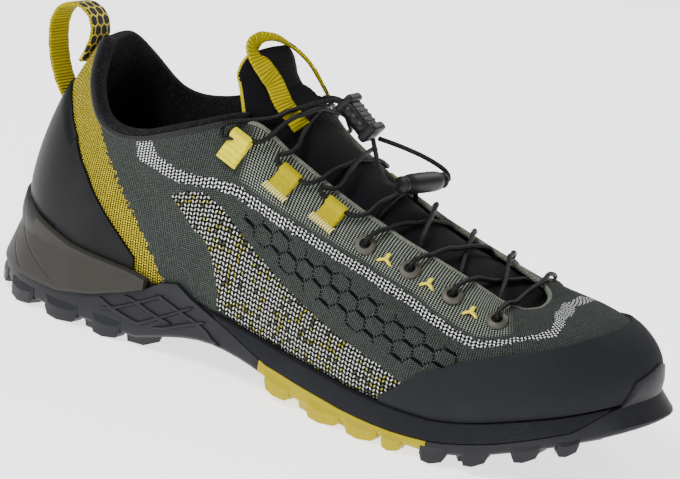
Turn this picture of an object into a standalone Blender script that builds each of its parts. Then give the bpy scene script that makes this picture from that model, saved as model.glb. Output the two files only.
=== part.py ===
"""Low approach shoe for the right foot, unworn, standing on its lugs.

The shoe points along +X, its outer (lateral) side is at -Y and +Z is up. Its origin is on the floor
under the middle of the sole. Everything follows from the ribs of the upper: thirty-two lines that run
from the feather line, where the upper meets the midsole, up to the collar or the throat.
"""

import math
from collections import namedtuple

import bmesh
import bpy
import numpy as np
from mathutils import Matrix, Vector

# Driving sizes of the shoe, in metres.
SHOE_LENGTH = 0.300
SOLE_WIDTH = 0.104
COLLAR_RISE = 0.083
TOE_SPRING = 0.030
ARCH_RISE = 0.008
OUTSOLE_THICKNESS = 0.0105
MIDSOLE_THICKNESS = 0.0195
LUG_DEPTH = 0.004
HEEL_OVERHANG = 0.0095
MIDSOLE_LEDGE = 0.003

# Walls and clearances.
UPPER_WALL = 0.0022
CLEARANCE = 0.0003
RAND_THICKNESS = 0.0012
COUNTER_THICKNESS = 0.0009

# One row for each rib, from the middle of the heel round the outer side to the toe and back.
# foot_x and top_x are shares of the length, foot_y and top_y of the sole width, measured from the middle.
# rise is the height of the top edge over the midsole. It and the four handles are shares of the collar rise.
# edge is the outsole's reach beyond the feather line, as a share of the heel overhang.
# ledge is the midsole's reach, as a share of the midsole ledge.
Rib = namedtuple("Rib", "foot_x foot_y top_x top_y rise low_out low_up high_out high_up edge ledge")
RIBS = [
    Rib(0.032, 0.012, 0.090, 0.012, 0.969, 0.060, 0.229, 0.205, -0.349, 1.00, 0.80),
    Rib(0.043, -0.123, 0.103, -0.094, 0.946, 0.054, 0.229, 0.169, -0.337, 0.84, 0.80),
    Rib(0.087, -0.248, 0.127, -0.210, 0.789, 0.048, 0.217, 0.084, -0.265, 0.68, 0.80),
    Rib(0.160, -0.311, 0.173, -0.296, 0.647, 0.042, 0.205, 0.036, -0.205, 0.58, 0.80),
    Rib(0.240, -0.327, 0.240, -0.333, 0.654, 0.036, 0.205, 0.018, -0.205, 0.53, 0.80),
    Rib(0.317, -0.335, 0.310, -0.330, 0.781, 0.036, 0.217, 0.036, -0.241, 0.47, 0.80),
    Rib(0.390, -0.347, 0.392, -0.267, 0.918, 0.030, 0.229, 0.096, -0.265, 0.42, 0.80),
    Rib(0.457, -0.368, 0.453, -0.214, 0.831, 0.030, 0.229, 0.133, -0.181, 0.37, 0.83),
    Rib(0.527, -0.402, 0.527, -0.184, 0.734, 0.036, 0.229, 0.145, -0.145, 0.34, 1.00),
    Rib(0.603, -0.440, 0.603, -0.168, 0.663, 0.042, 0.217, 0.157, -0.108, 0.37, 1.00),
    Rib(0.680, -0.465, 0.677, -0.160, 0.611, 0.048, 0.205, 0.169, -0.078, 0.37, 1.00),
    Rib(0.753, -0.465, 0.740, -0.152, 0.545, 0.048, 0.193, 0.181, -0.048, 0.37, 1.00),
    Rib(0.817, -0.431, 0.773, -0.136, 0.457, 0.048, 0.193, 0.193, -0.012, 0.37, 1.00),
    Rib(0.877, -0.363, 0.792, -0.099, 0.370, 0.048, 0.193, 0.229, 0.024, 0.42, 1.00),
    Rib(0.927, -0.253, 0.802, -0.056, 0.304, 0.042, 0.205, 0.253, 0.060, 0.58, 0.80),
    Rib(0.962, -0.104, 0.807, -0.008, 0.257, 0.036, 0.229, 0.289, 0.090, 0.79, 0.80),
    Rib(0.972, 0.050, 0.808, 0.040, 0.251, 0.036, 0.241, 0.307, 0.102, 0.895, 0.80),
    Rib(0.958, 0.194, 0.806, 0.088, 0.277, 0.036, 0.229, 0.289, 0.096, 0.79, 0.80),
    Rib(0.923, 0.319, 0.800, 0.132, 0.342, 0.042, 0.205, 0.253, 0.072, 0.58, 0.80),
    Rib(0.873, 0.406, 0.788, 0.167, 0.419, 0.048, 0.193, 0.229, 0.042, 0.42, 1.00),
    Rib(0.817, 0.452, 0.770, 0.185, 0.501, 0.048, 0.193, 0.205, 0.000, 0.37, 1.00),
    Rib(0.753, 0.466, 0.737, 0.190, 0.587, 0.048, 0.205, 0.193, -0.036, 0.37, 1.00),
    Rib(0.680, 0.452, 0.677, 0.194, 0.647, 0.042, 0.217, 0.181, -0.078, 0.34, 1.00),
    Rib(0.603, 0.401, 0.603, 0.204, 0.702, 0.030, 0.241, 0.169, -0.120, 0.32, 1.00),
    Rib(0.527, 0.343, 0.527, 0.218, 0.776, 0.018, 0.253, 0.133, -0.181, 0.32, 1.00),
    Rib(0.457, 0.303, 0.453, 0.238, 0.873, 0.018, 0.253, 0.108, -0.241, 0.37, 0.83),
    Rib(0.390, 0.290, 0.393, 0.276, 0.960, 0.024, 0.253, 0.072, -0.289, 0.42, 0.80),
    Rib(0.317, 0.300, 0.317, 0.314, 0.865, 0.036, 0.229, 0.030, -0.265, 0.47, 0.80),
    Rib(0.240, 0.319, 0.240, 0.338, 0.745, 0.042, 0.217, 0.018, -0.229, 0.53, 0.80),
    Rib(0.160, 0.314, 0.173, 0.324, 0.731, 0.048, 0.217, 0.036, -0.241, 0.58, 0.80),
    Rib(0.087, 0.257, 0.123, 0.257, 0.880, 0.054, 0.217, 0.096, -0.301, 0.68, 0.80),
    Rib(0.043, 0.146, 0.100, 0.137, 0.982, 0.054, 0.229, 0.169, -0.349, 0.84, 0.80),
]
RIB_COUNT = len(RIBS)
TOE_RIB = RIB_COUNT // 2

# The sole seen from the side. x is a share of the length, arch of the arch rise, spring of the toe spring,
# outsole and midsole of their thicknesses.
Profile = namedtuple("Profile", "x arch spring outsole midsole")
PROFILES = [
    Profile(0.000, 1.000, 0.000, 0.476, 0.923),
    Profile(0.040, 0.375, 0.000, 0.810, 0.974),
    Profile(0.093, 0.000, 0.000, 1.000, 1.000),
    Profile(0.200, 0.000, 0.000, 1.000, 0.938),
    Profile(0.293, 0.000, 0.000, 1.000, 0.862),
    Profile(0.333, 0.500, 0.000, 0.781, 0.723),
    Profile(0.393, 1.000, 0.000, 0.590, 0.538),
    Profile(0.467, 0.812, 0.000, 0.657, 0.451),
    Profile(0.520, 0.375, 0.000, 0.810, 0.451),
    Profile(0.573, 0.000, 0.000, 0.886, 0.477),
    Profile(0.633, 0.000, 0.000, 0.705, 0.487),
    Profile(0.713, 0.000, 0.000, 0.629, 0.482),
    Profile(0.753, 0.000, 0.000, 0.705, 0.456),
    Profile(0.800, 0.000, 0.073, 0.762, 0.451),
    Profile(0.853, 0.000, 0.250, 0.714, 0.451),
    Profile(0.907, 0.000, 0.467, 0.667, 0.410),
    Profile(0.960, 0.000, 0.733, 0.619, 0.333),
    Profile(1.000, 0.000, 1.000, 0.381, 0.256),
]


def column(rows, name):
    """One named column of a table, as an array."""
    return np.array([getattr(row, name) for row in rows])


RIB_COLUMNS = {name: column(RIBS, name) for name in Rib._fields}
PROFILE_COLUMNS = {name: column(PROFILES, name) for name in Profile._fields}


def rib_value(name, k):
    """A column of the ribs at rib position k, as a smooth closed curve through the rows."""
    values = RIB_COLUMNS[name]
    k = np.asarray(k, float) % RIB_COUNT
    i = np.floor(k).astype(int)
    t = k - i
    a, b, c, d = (values[(i + step) % RIB_COUNT] for step in (-1, 0, 1, 2))
    return b + 0.5 * t * (c - a + t * (2 * a - 5 * b + 4 * c - d + t * (3 * (b - c) + d - a)))


def profile_value(name, x_share):
    """A column of the side profile at a share of the length, as a smooth curve through the rows."""
    xs, ys = PROFILE_COLUMNS["x"], PROFILE_COLUMNS[name]
    slopes = np.gradient(ys, xs)
    x = np.clip(np.asarray(x_share, float), xs[0], xs[-1])
    i = np.clip(np.searchsorted(xs, x, side="right") - 1, 0, len(xs) - 2)
    step = xs[i + 1] - xs[i]
    t = (x - xs[i]) / step
    rise = ys[i] + (ys[i + 1] - ys[i]) * t * t * (3 - 2 * t)
    bend = step * t * (1 - t) * (slopes[i] * (1 - t) - slopes[i + 1] * t)
    return np.where(ys[i] == ys[i + 1], ys[i], rise + bend)


def ground_z(x_share):
    """Height of the lug tips over the floor."""
    arch = np.maximum(profile_value("arch", x_share), 0) * ARCH_RISE
    return arch + np.maximum(profile_value("spring", x_share), 0) * TOE_SPRING


def seam_z(x_share):
    """Height of the seam between outsole and midsole."""
    return ground_z(x_share) + profile_value("outsole", x_share) * OUTSOLE_THICKNESS


def platform_z(x_share):
    """Height of the midsole's top, where the foot stands."""
    return seam_z(x_share) + profile_value("midsole", x_share) * MIDSOLE_THICKNESS


def feather(k):
    """Plan position of the feather line at rib position k."""
    x = (rib_value("foot_x", k) - 0.5) * SHOE_LENGTH
    return np.stack([x, rib_value("foot_y", k) * SOLE_WIDTH], -1)


def outward(k):
    """Horizontal unit vector that points out of the shoe at rib position k."""
    step = 0.05
    along = feather(np.asarray(k) + step) - feather(np.asarray(k) - step)
    along = along / np.linalg.norm(along, axis=-1, keepdims=True)
    return np.stack([along[..., 1], -along[..., 0], np.zeros_like(along[..., 0])], -1)


def raised(plan, z):
    """Plan positions with a height."""
    return np.concatenate([plan, np.asarray(z)[..., None]], -1)


def upper_skin(k, v):
    """Outer face of the upper: k runs round the shoe, v from the feather line (0) to the top edge (1)."""
    k, v = np.broadcast_arrays(np.asarray(k, float), np.asarray(v, float))
    base = platform_z(rib_value("foot_x", k)) + CLEARANCE
    low = raised(feather(k), base)
    top_x = (rib_value("top_x", k) - 0.5) * SHOE_LENGTH
    top_y = rib_value("top_y", k) * SOLE_WIDTH
    high = np.stack([top_x, top_y, base + rib_value("rise", k) * COLLAR_RISE], -1)
    out, up = outward(k), np.array([0.0, 0.0, 1.0])

    def handle(start, name):
        reach = rib_value(name + "_out", k)[..., None] * out + rib_value(name + "_up", k)[..., None] * up
        return start + reach * COLLAR_RISE

    t = v[..., None]
    s = 1 - t
    return (
        s**3 * low
        + 3 * s * s * t * handle(low, "low")
        + 3 * s * t * t * handle(high, "high")
        + t**3 * high
    )


def upper_frame(k, v):
    """Point, unit vector up the rib and unit normal of the upper's outer face."""
    dk, dv = 0.04, 0.02
    k, v = np.asarray(k, float), np.asarray(v, float)
    round_shoe = upper_skin(k + dk, v) - upper_skin(k - dk, v)
    up_rib = upper_skin(k, v + dv) - upper_skin(k, v - dv)
    normal = np.cross(round_shoe, up_rib)
    normal /= np.linalg.norm(normal, axis=-1, keepdims=True)
    up_rib /= np.linalg.norm(up_rib, axis=-1, keepdims=True)
    return upper_skin(k, v), up_rib, normal


def upper_point(k, v, out=0.0):
    """A point at a distance outside the upper's outer face."""
    point, _, normal = upper_frame(k, v)
    return point + normal * np.asarray(out)[..., None]


# How the surfaces are divided: columns for each rib, and rows up the wall of the upper.
COLUMNS_PER_RIB = 3
UPPER_ROWS = 5

# Walls on the side of the sole, and the gap under what lies on the upper.
RIM_WALL = 0.0018
CUP_WALL = 0.0016
OVERLAY_GAP = 0.0006
SOLE_CHAMFER = 0.0012
INSOLE_THICKNESS = 0.0032
INSOLE_CLEARANCE = 0.0008
STEP_CLEARANCE = 0.03
SEAT_GAP = 0.0005
RAND_FOOT = 0.02

# Upper edges of the bands that climb the side, a row for each place round the shoe.
# high is the place on the rib: 0 is the feather line and 1 the top edge.
Band = namedtuple("Band", "rib high")
TOE_RAND = [
    Band(10.0, 0.06),
    Band(10.33, 0.17),
    Band(10.67, 0.29),
    Band(11.33, 0.41),
    Band(12.33, 0.48),
    Band(14.0, 0.51),
    Band(16.0, 0.53),
    Band(18.0, 0.52),
    Band(19.67, 0.48),
    Band(20.67, 0.41),
    Band(21.33, 0.29),
    Band(21.67, 0.17),
    Band(22.0, 0.06),
]
HEEL_COUNTER = [
    Band(0.0, 0.78),
    Band(1.0, 0.79),
    Band(1.67, 0.79),
    Band(2.33, 0.75),
    Band(3.0, 0.62),
    Band(3.67, 0.37),
    Band(4.33, 0.13),
]
HEEL_CUP = [
    Band(0.0, 0.24),
    Band(1.67, 0.18),
    Band(2.33, 0.12),
    Band(3.0, 0.06),
    Band(4.33, 0.04),
    Band(4.67, 0.03),
]
# Upper edge of the outsole's rim, a row for each place round the shoe.
# high is 0 at the outsole's seam, 1 at the midsole's top edge and 1 more than the place on the rib above it.
OUTSOLE_RIM = [
    Band(0.0, 0.08),
    Band(3.0, 0.10),
    Band(3.67, 0.30),
    Band(4.33, 0.62),
    Band(5.0, 1.05),
    Band(5.33, 1.09),
    Band(6.0, 0.97),
    Band(6.67, 0.66),
    Band(7.33, 0.26),
    Band(7.67, 0.10),
    Band(12.33, 0.08),
    Band(13.67, 0.24),
    Band(14.33, 0.80),
    Band(15.0, 1.14),
    Band(16.0, 1.20),
    Band(17.0, 1.14),
    Band(17.67, 0.80),
    Band(18.33, 0.24),
    Band(19.67, 0.08),
    Band(24.33, 0.10),
    Band(24.67, 0.26),
    Band(25.33, 0.66),
    Band(26.0, 0.97),
    Band(26.67, 1.09),
    Band(27.0, 1.05),
    Band(27.67, 0.62),
    Band(28.33, 0.30),
    Band(29.0, 0.10),
    Band(32.0, 0.08),
]

# Ends of the three parts of the outsole, as shares of the length.
ARCH_START = 0.490
ARCH_END = 0.757

# Lugs, each a six-sided block. x is a share of the length, y of the half width of the outsole there,
# long and wide are its half sizes in shares of the lug pitch, turn is in degrees.
Lug = namedtuple("Lug", "x y long wide turn")
LUG_PITCH = 0.020
LUG_OUTLINE = [(1, 0), (0.55, 1), (-0.55, 1), (-1, 0), (-0.55, -1), (0.55, -1)]
LUG_DRAFT = 0.86
LUG_SINK = 0.0010
HEEL_LUGS = [
    Lug(0.082, 0.00, 0.36, 0.90, 0),
    Lug(0.150, -0.62, 0.46, 0.44, -18),
    Lug(0.150, 0.62, 0.46, 0.44, 18),
    Lug(0.218, -0.70, 0.42, 0.42, -8),
    Lug(0.218, 0.70, 0.42, 0.42, 8),
    Lug(0.175, 0.00, 0.42, 0.46, 0),
    Lug(0.250, 0.00, 0.42, 0.46, 0),
    Lug(0.286, -0.70, 0.42, 0.40, 0),
    Lug(0.286, 0.70, 0.42, 0.40, 0),
    Lug(0.365, 0.00, 0.28, 1.20, 0),
    Lug(0.430, 0.00, 0.24, 1.20, 0),
]
ARCH_LUGS = [
    Lug(0.525, 0.00, 0.22, 1.55, 0),
    Lug(0.582, -0.60, 0.34, 0.78, -16),
    Lug(0.582, 0.60, 0.34, 0.78, 16),
    Lug(0.642, -0.62, 0.34, 0.72, -16),
    Lug(0.642, 0.62, 0.34, 0.72, 16),
    Lug(0.612, 0.00, 0.34, 0.40, 0),
    Lug(0.672, 0.00, 0.34, 0.40, 0),
    Lug(0.704, -0.62, 0.34, 0.72, -10),
    Lug(0.704, 0.62, 0.34, 0.72, 10),
]
FOREFOOT_LUGS = [
    Lug(0.800, -0.70, 0.38, 0.46, 10),
    Lug(0.800, -0.22, 0.40, 0.44, 0),
    Lug(0.800, 0.26, 0.40, 0.44, 0),
    Lug(0.800, 0.74, 0.38, 0.46, -10),
    Lug(0.862, -0.62, 0.38, 0.46, 16),
    Lug(0.862, 0.04, 0.42, 0.46, 0),
    Lug(0.862, 0.66, 0.38, 0.46, -16),
    Lug(0.925, -0.28, 0.34, 0.56, 12),
    Lug(0.925, 0.44, 0.34, 0.56, -12),
]

# The padded lining round the collar, in its own section: place on the rib, distance up over the top edge
# and distance out of the upper's inner face. It thins towards its two ends.
LINING_END = 5.33
LINING_THINNING = 2.0
LINING_LEAST = 0.25
LINING_GAP = 0.0006
Padding = namedtuple("Padding", "v up out")
LINING_SECTION = [
    Padding(0.56, 0.0000, 0.0000),
    Padding(0.78, 0.0000, 0.0000),
    Padding(1.00, 0.0010, 0.0000),
    Padding(1.00, 0.0012, 0.0024),
    Padding(1.00, 0.0042, 0.0014),
    Padding(1.00, 0.0046, -0.0026),
    Padding(0.90, 0.0000, -0.0062),
    Padding(0.66, 0.0000, -0.0034),
]

# The tongue passes under the throat at these ribs, then ends free above it. half is its half width and
# thick its thickness as a share of the padding's.
TONGUE_RIBS = [14.0, 13.2, 12.3, 11.4, 10.5, 9.6, 8.7, 7.8, 7.0, 6.2]
TONGUE_GAP = 0.0012
TONGUE_UNDERLAP = 0.14
TONGUE_THICKNESS = 0.0036
TONGUE_PADDING = 0.0065
TONGUE_CROWN = 0.32
TONGUE_WRAP = 0.25
TONGUE_DROOP = 0.30
TongueEnd = namedtuple("TongueEnd", "x y z half thick")
TONGUE_TOP = [
    TongueEnd(-0.0350, 0.000, 0.1160, 0.0200, 0.9),
    TongueEnd(-0.0380, 0.000, 0.1220, 0.0185, 1.0),
    TongueEnd(-0.0385, 0.001, 0.1265, 0.0130, 0.7),
]

# Eyelets and webbing guides by their place on the outer side of the upper, from the top of the throat down.
Place = namedtuple("Place", "rib v")
GUIDES = [
    (Place(5.81, 0.79), Place(5.97, 0.91)),
    (Place(6.98, 0.76), Place(7.12, 0.89)),
    (Place(7.97, 0.77), Place(8.06, 0.90)),
]
EYELETS = [Place(8.80, 0.80), Place(9.68, 0.81), Place(10.60, 0.79), Place(11.95, 0.74)]
EYELET_RADIUS = 0.0042
EYELET_HOLE = 0.0021
EYELET_HEIGHT = 0.0014
GUIDE_WIDTH = 0.0092
WEBBING = 0.0011
LACE_RADIUS = 0.0010
LACE_GAP = 0.0004
LACE_SPACING = 7.7

# Small parts at the top of the lacing and at the heel.
LOCK_SIZE = Vector((0.0190, 0.0100, 0.0090))
LOCK_PLACE = Vector((0.0000, 0.0020, 0.1090))
LOCK_PITCH = 36.0
# Way of the inner lace from the top guide to the lock.
LOCK_LEAD = [
    (-0.0310, 0.0200, 0.1125),
    (-0.0215, 0.0100, 0.1172),
    (-0.0125, 0.0030, 0.1181),
    (-0.0081, 0.0024, 0.1149),
]
GRIP_LENGTH = 0.0280
GRIP_RADIUS = 0.0042
GRIP_PLACE = Vector((0.0320, 0.0020, 0.0905))
GRIP_TILT = 90.0
GRIP_YAW = -12.0
LOOP_WIDTH = 0.0140
LOOP_THICKNESS = 0.0020
# Free ends of the lace, from the cord lock to the two ends of the grip.
OUTER_TAIL = [
    (0.0086, -0.0005, 0.1022),
    (0.0140, -0.0070, 0.0985),
    (0.0200, -0.0140, 0.0948),
    (0.0253, -0.0172, 0.0915),
    (0.0282, -0.0156, 0.0906),
    (0.0286, -0.0131, 0.0905),
]
INNER_TAIL = [
    (0.0086, 0.0045, 0.1022),
    (0.0160, 0.0110, 0.1000),
    (0.0240, 0.0190, 0.0965),
    (0.0315, 0.0225, 0.0930),
    (0.0352, 0.0200, 0.0908),
    (0.0352, 0.0170, 0.0905),
]
HEEL_LOOP_PATH = [
    (-0.1375, 0, 0.0860),
    (-0.1425, 0, 0.0960),
    (-0.1455, 0, 0.1060),
    (-0.1460, 0, 0.1150),
    (-0.1425, 0, 0.1215),
    (-0.1350, 0, 0.1240),
    (-0.1280, 0, 0.1215),
    (-0.1255, 0, 0.1170),
]
TONGUE_LOOP_WIDTH = 0.0095
# Steps of the loop beyond the tongue's face: along the face, along its normal.
TONGUE_LOOP_BOW = [
    (0.0045, 0.0035),
    (0.0085, 0.0010),
    (0.0090, -0.0040),
    (0.0060, -0.0085),
    (0.0000, -0.0095),
]


# Meshes.
def new_object(name, bm, collection, outward_known=False):
    """An object made from a bmesh, with its faces turned outward."""
    bmesh.ops.remove_doubles(bm, verts=bm.verts, dist=0.00001)
    if not outward_known:
        bmesh.ops.recalc_face_normals(bm, faces=bm.faces)
    mesh = bpy.data.meshes.new(name)
    bm.to_mesh(mesh)
    bm.free()
    obj = bpy.data.objects.new(name, mesh)
    collection.objects.link(obj)
    return obj


def join(obj, tool):
    """Join a tool's solids to an object and hide the tool."""
    tool.hide_render = True
    tool.display_type = "WIRE"
    union = obj.modifiers.new(tool.name, "BOOLEAN")
    union.operation = "UNION"
    union.solver = "EXACT"
    union.object = tool


def loft(sections):
    """A closed solid through sections, each a list of points in the same order round it."""
    bm = bmesh.new()
    rings = [[bm.verts.new(point) for point in section] for section in sections]
    for first, second in zip(rings, rings[1:]):
        for j in range(len(first)):
            following = (j + 1) % len(first)
            bm.faces.new((first[j], second[j], second[following], first[following]))
    bm.faces.new(rings[0])
    bm.faces.new(rings[-1])
    return bm


def stacked_rings(rings):
    """A closed solid through rings round the shoe, with a floor and a lid of strips across it.

    Each strip joins a column of the outer side to its partner on the inner side.
    """
    bm = bmesh.new()
    loops = [[bm.verts.new(point) for point in ring] for ring in rings]
    count = len(loops[0])
    for lower, higher in zip(loops, loops[1:]):
        for i in range(count):
            following = (i + 1) % count
            bm.faces.new((lower[i], lower[following], higher[following], higher[i]))
    for loop in (loops[0], loops[-1]):
        for i in range(count // 2):
            corners = [loop[i], loop[i + 1], loop[(count - i - 1) % count], loop[(count - i) % count]]
            bm.faces.new(list(dict.fromkeys(corners)))
    return bm


def band_high(rows, k):
    """Upper edge of a band at rib positions k. A table from rib 0 stands for both sides of the heel."""
    ribs = [row.rib for row in rows]
    heights = [row.high for row in rows]
    return np.interp(k, ribs, heights)


def columns_between(start, end):
    """Rib positions of the shared columns from start to end."""
    first, last = round(start * COLUMNS_PER_RIB), round(end * COLUMNS_PER_RIB)
    return np.arange(first, last + 1) / COLUMNS_PER_RIB


def x_share(k):
    """Share of the length at the feather line."""
    return feather(k)[..., 0] / SHOE_LENGTH + 0.5


def side_plan(k, reach):
    """Plan position at a distance outside the feather line."""
    return feather(k) + outward(k)[..., :2] * np.asarray(reach)[..., None]


def edge_reach(k):
    """How far the outsole reaches beyond the feather line."""
    return rib_value("edge", k) * HEEL_OVERHANG


def ledge_reach(k):
    """How far the midsole's top reaches beyond the feather line."""
    return rib_value("ledge", k) * MIDSOLE_LEDGE


def side_point(k, w, wall, depth):
    """A point in a wall on the side of the shoe.

    w runs from the outsole's seam (0) over the midsole's top edge (1) to the upper (above 1), and depth
    from the wall's outer face (0) to its inner face (1). On the midsole the wall lies in the side, on the
    upper it lies outside.
    """
    share = x_share(k)
    low = np.minimum(w, 1.0)
    reach = edge_reach(k) * (1 - low) + ledge_reach(k) * low - wall * depth
    z = seam_z(share) * (1 - low) + platform_z(share) * low
    v = np.maximum(w - 1.0, 0.0)
    over = upper_point(k, v, OVERLAY_GAP + wall * (1 - depth))
    return np.where((np.asarray(w) <= 1.0)[..., None], raised(side_plan(k, reach), z), over)


def side_rows(w_low, w_top):
    """Steps up the side, with one at the midsole's top edge."""
    bend = np.minimum(w_top - 0.03, 1.0)
    over = w_top - bend
    return np.stack([w_low, bend, bend + over * 0.4, w_top], -1)


def overlay(columns, low, high, row_count, thickness):
    """A panel that lies on the upper between its low and high edges."""
    sections = []
    for k, v_low, v_high in zip(columns, low, high):
        v = np.linspace(v_low, v_high, row_count)
        inside = upper_point(np.full(row_count, k), v, np.full(row_count, OVERLAY_GAP))
        outside = upper_point(np.full(row_count, k), v, np.full(row_count, OVERLAY_GAP + thickness))
        sections.append(list(inside) + list(outside[::-1]))
    return loft(sections)


# The sole.
ALL_COLUMNS = columns_between(0, RIB_COUNT)[:-1]


def rim_high(k):
    """Upper edge of the outsole's rim as a step up the side."""
    return band_high(OUTSOLE_RIM, np.asarray(k) % RIB_COUNT)


def slice_between(bm, x_low, x_high):
    """Keep what lies between two planes across the shoe and close the cuts."""
    for x, normal in ((x_low, (-1, 0, 0)), (x_high, (1, 0, 0))):
        geometry = bm.verts[:] + bm.edges[:] + bm.faces[:]
        cut = bmesh.ops.bisect_plane(
            bm, geom=geometry, plane_co=(x, 0, 0), plane_no=normal, clear_outer=True, dist=0.00001
        )
        edges = [item for item in cut["geom_cut"] if isinstance(item, bmesh.types.BMEdge)]
        if edges:
            bmesh.ops.contextual_create(bm, geom=edges)
    return bm


def outsole_blank():
    """The whole outsole without lugs: a plate with a rim round it."""
    k = ALL_COLUMNS
    share = x_share(k)
    plate_low = ground_z(share) + LUG_DEPTH
    wall = np.full(len(k), RIM_WALL)
    rings = [
        raised(side_plan(k, edge_reach(k) - SOLE_CHAMFER), plate_low),
        raised(side_plan(k, edge_reach(k)), plate_low + SOLE_CHAMFER),
    ]
    rows = side_rows(np.zeros(len(k)), rim_high(k))
    for j in range(rows.shape[1]):
        rings.append(side_point(k, rows[:, j], wall, 0.0))
    for j in reversed(range(rows.shape[1])):
        rings.append(side_point(k, rows[:, j], wall, 1.0))
    return stacked_rings(rings)


def sole_span(share):
    """Outer and inner edges of the outsole at a share of the length."""
    x = (share - 0.5) * SHOE_LENGTH
    edges = []
    for k in (columns_between(0, TOE_RIB), RIB_COUNT - columns_between(0, TOE_RIB)):
        line = side_plan(k, edge_reach(k))
        edges.append(float(np.interp(x, line[:, 0], line[:, 1])))
    return edges


def add_lug(bm, lug):
    """Add a six-sided block with drafted sides that reaches down from the plate to the lug tips."""
    outer, inner = sole_span(lug.x)
    centre = Vector(((lug.x - 0.5) * SHOE_LENGTH, (outer + inner) / 2 + lug.y * (inner - outer) / 2))
    turn = Matrix.Rotation(math.radians(lug.turn), 2)
    rings = []
    for scale, rise in ((LUG_DRAFT, 0.0), (1.0, LUG_DEPTH + LUG_SINK)):
        ring = []
        for along, across in LUG_OUTLINE:
            reach = Vector((along * lug.long, across * lug.wide)) * LUG_PITCH * scale
            corner = centre + turn @ reach
            tip = float(ground_z(corner.x / SHOE_LENGTH + 0.5))
            ring.append(bm.verts.new((corner.x, corner.y, tip + rise)))
        rings.append(ring)
    lower, higher = rings
    for i in range(len(lower)):
        following = (i + 1) % len(lower)
        bm.faces.new((lower[i], lower[following], higher[following], higher[i]))
    bm.faces.new(lower[::-1])
    bm.faces.new(higher)


def outsole_part(name, start, end, lugs, parts, tools):
    """One of the three parts of the outsole with its lugs joined on."""
    bm = outsole_blank()
    slice_between(bm, (start - 0.5) * SHOE_LENGTH, (end - 0.5) * SHOE_LENGTH)
    part = new_object(name, bm, parts)
    blocks = bmesh.new()
    for lug in lugs:
        add_lug(blocks, lug)
    join(part, new_object(name + "_lugs", blocks, tools))
    return part


def midsole():
    """The midsole: it fits in the outsole's rim and the heel cup, and comes flush with them outside."""
    k = ALL_COLUMNS
    near_heel = np.minimum(k, RIB_COUNT - k)
    inset = RIM_WALL + SEAT_GAP
    step = np.minimum(rim_high(k) + STEP_CLEARANCE, 1.0)
    covered = (near_heel <= HEEL_CUP[-1].rib) | (step >= 1.0)
    flush = np.where(covered, inset, 0.0)
    zero = np.zeros(len(k))
    floor = side_point(k, zero, inset, 1.0)
    lid = side_point(k, zero + 1, flush, 1.0)
    floor[:, 2] += CLEARANCE
    rings = [floor, side_point(k, step, inset, 1.0), side_point(k, step, flush, 1.0), lid]
    return stacked_rings(rings)


def heel_cup():
    """The shell round the heel, from the outsole's rim up over the midsole to the upper."""
    end = HEEL_CUP[-1].rib
    columns = columns_between(-end, end)
    low = rim_high(columns) + STEP_CLEARANCE
    high = 1 + band_high(HEEL_CUP, np.abs(columns))
    rows = side_rows(np.minimum(low, high - 0.08), high)
    sections = []
    for k, row in zip(columns, rows):
        ks = np.full(len(row), k)
        outside = side_point(ks, row, CUP_WALL, 0.0)
        inside = side_point(ks, row, CUP_WALL, 1.0)
        sections.append(list(inside) + list(outside[::-1]))
    return loft(sections)


def insole():
    """The footbed, inside the foot of the upper."""
    k = ALL_COLUMNS[::2]
    plan = side_plan(k, np.full(len(k), -(UPPER_WALL + INSOLE_CLEARANCE)))
    low = platform_z(x_share(k)) + SEAT_GAP
    return stacked_rings([raised(plan, low), raised(plan, low + INSOLE_THICKNESS)])


# The upper and what is sewn or bonded to it.
def upper_face():
    """Outer face of the upper, open at the collar, the throat and the foot. A modifier gives it its wall."""
    bm = bmesh.new()
    rows = np.linspace(0, 1, UPPER_ROWS + 1)
    grid = [[bm.verts.new(p) for p in upper_skin(np.full(len(rows), k), rows)] for k in ALL_COLUMNS]
    for i, column_here in enumerate(grid):
        beside = grid[(i + 1) % len(grid)]
        for j in range(UPPER_ROWS):
            bm.faces.new((column_here[j], beside[j], beside[j + 1], column_here[j + 1]))
    return bm


def toe_rand():
    """The rubber rand round the toe, above the outsole's bumper."""
    columns = columns_between(TOE_RAND[0].rib, TOE_RAND[-1].rib)
    low = np.maximum(rim_high(columns) - 1 + STEP_CLEARANCE, RAND_FOOT)
    return overlay(columns, low, band_high(TOE_RAND, columns), 6, RAND_THICKNESS)


def heel_counter():
    """The smooth counter round the heel, above the heel cup."""
    end = HEEL_COUNTER[-1].rib
    columns = columns_between(-end, end)
    low = band_high(HEEL_CUP, np.abs(columns)) + STEP_CLEARANCE
    return overlay(columns, low, band_high(HEEL_COUNTER, np.abs(columns)), 6, COUNTER_THICKNESS)


def collar_lining():
    """The padded lining inside the collar, which rises over the upper's top edge."""
    sections = []
    for k in columns_between(-LINING_END, LINING_END):
        full = min(1.0, LINING_LEAST + (LINING_END - abs(k)) / LINING_THINNING)
        section = []
        for pad in LINING_SECTION:
            point, up_rib, normal = upper_frame(k, pad.v)
            out = pad.out if pad.out > 0 else pad.out * full
            section.append(point + up_rib * pad.up + normal * (out - UPPER_WALL - LINING_GAP))
        sections.append(section)
    return loft(sections)


# The tongue.
def arch_over(k, count):
    """Points across the throat between rib k and its partner, arched like the instep."""
    edges, ups = [], []
    for rib in (k, RIB_COUNT - k):
        point, up_rib, normal = upper_frame(rib, 1.0)
        edges.append(point - normal * (UPPER_WALL + TONGUE_GAP))
        ups.append(up_rib)
    reach = np.linalg.norm(edges[1] - edges[0]) * TONGUE_CROWN
    t = np.linspace(0, 1, count)[:, None]
    s = 1 - t
    return (
        s**3 * edges[0]
        + 3 * s * s * t * (edges[0] + ups[0] * reach)
        + 3 * s * t * t * (edges[1] + ups[1] * reach)
        + t**3 * edges[1]
    )


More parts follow.
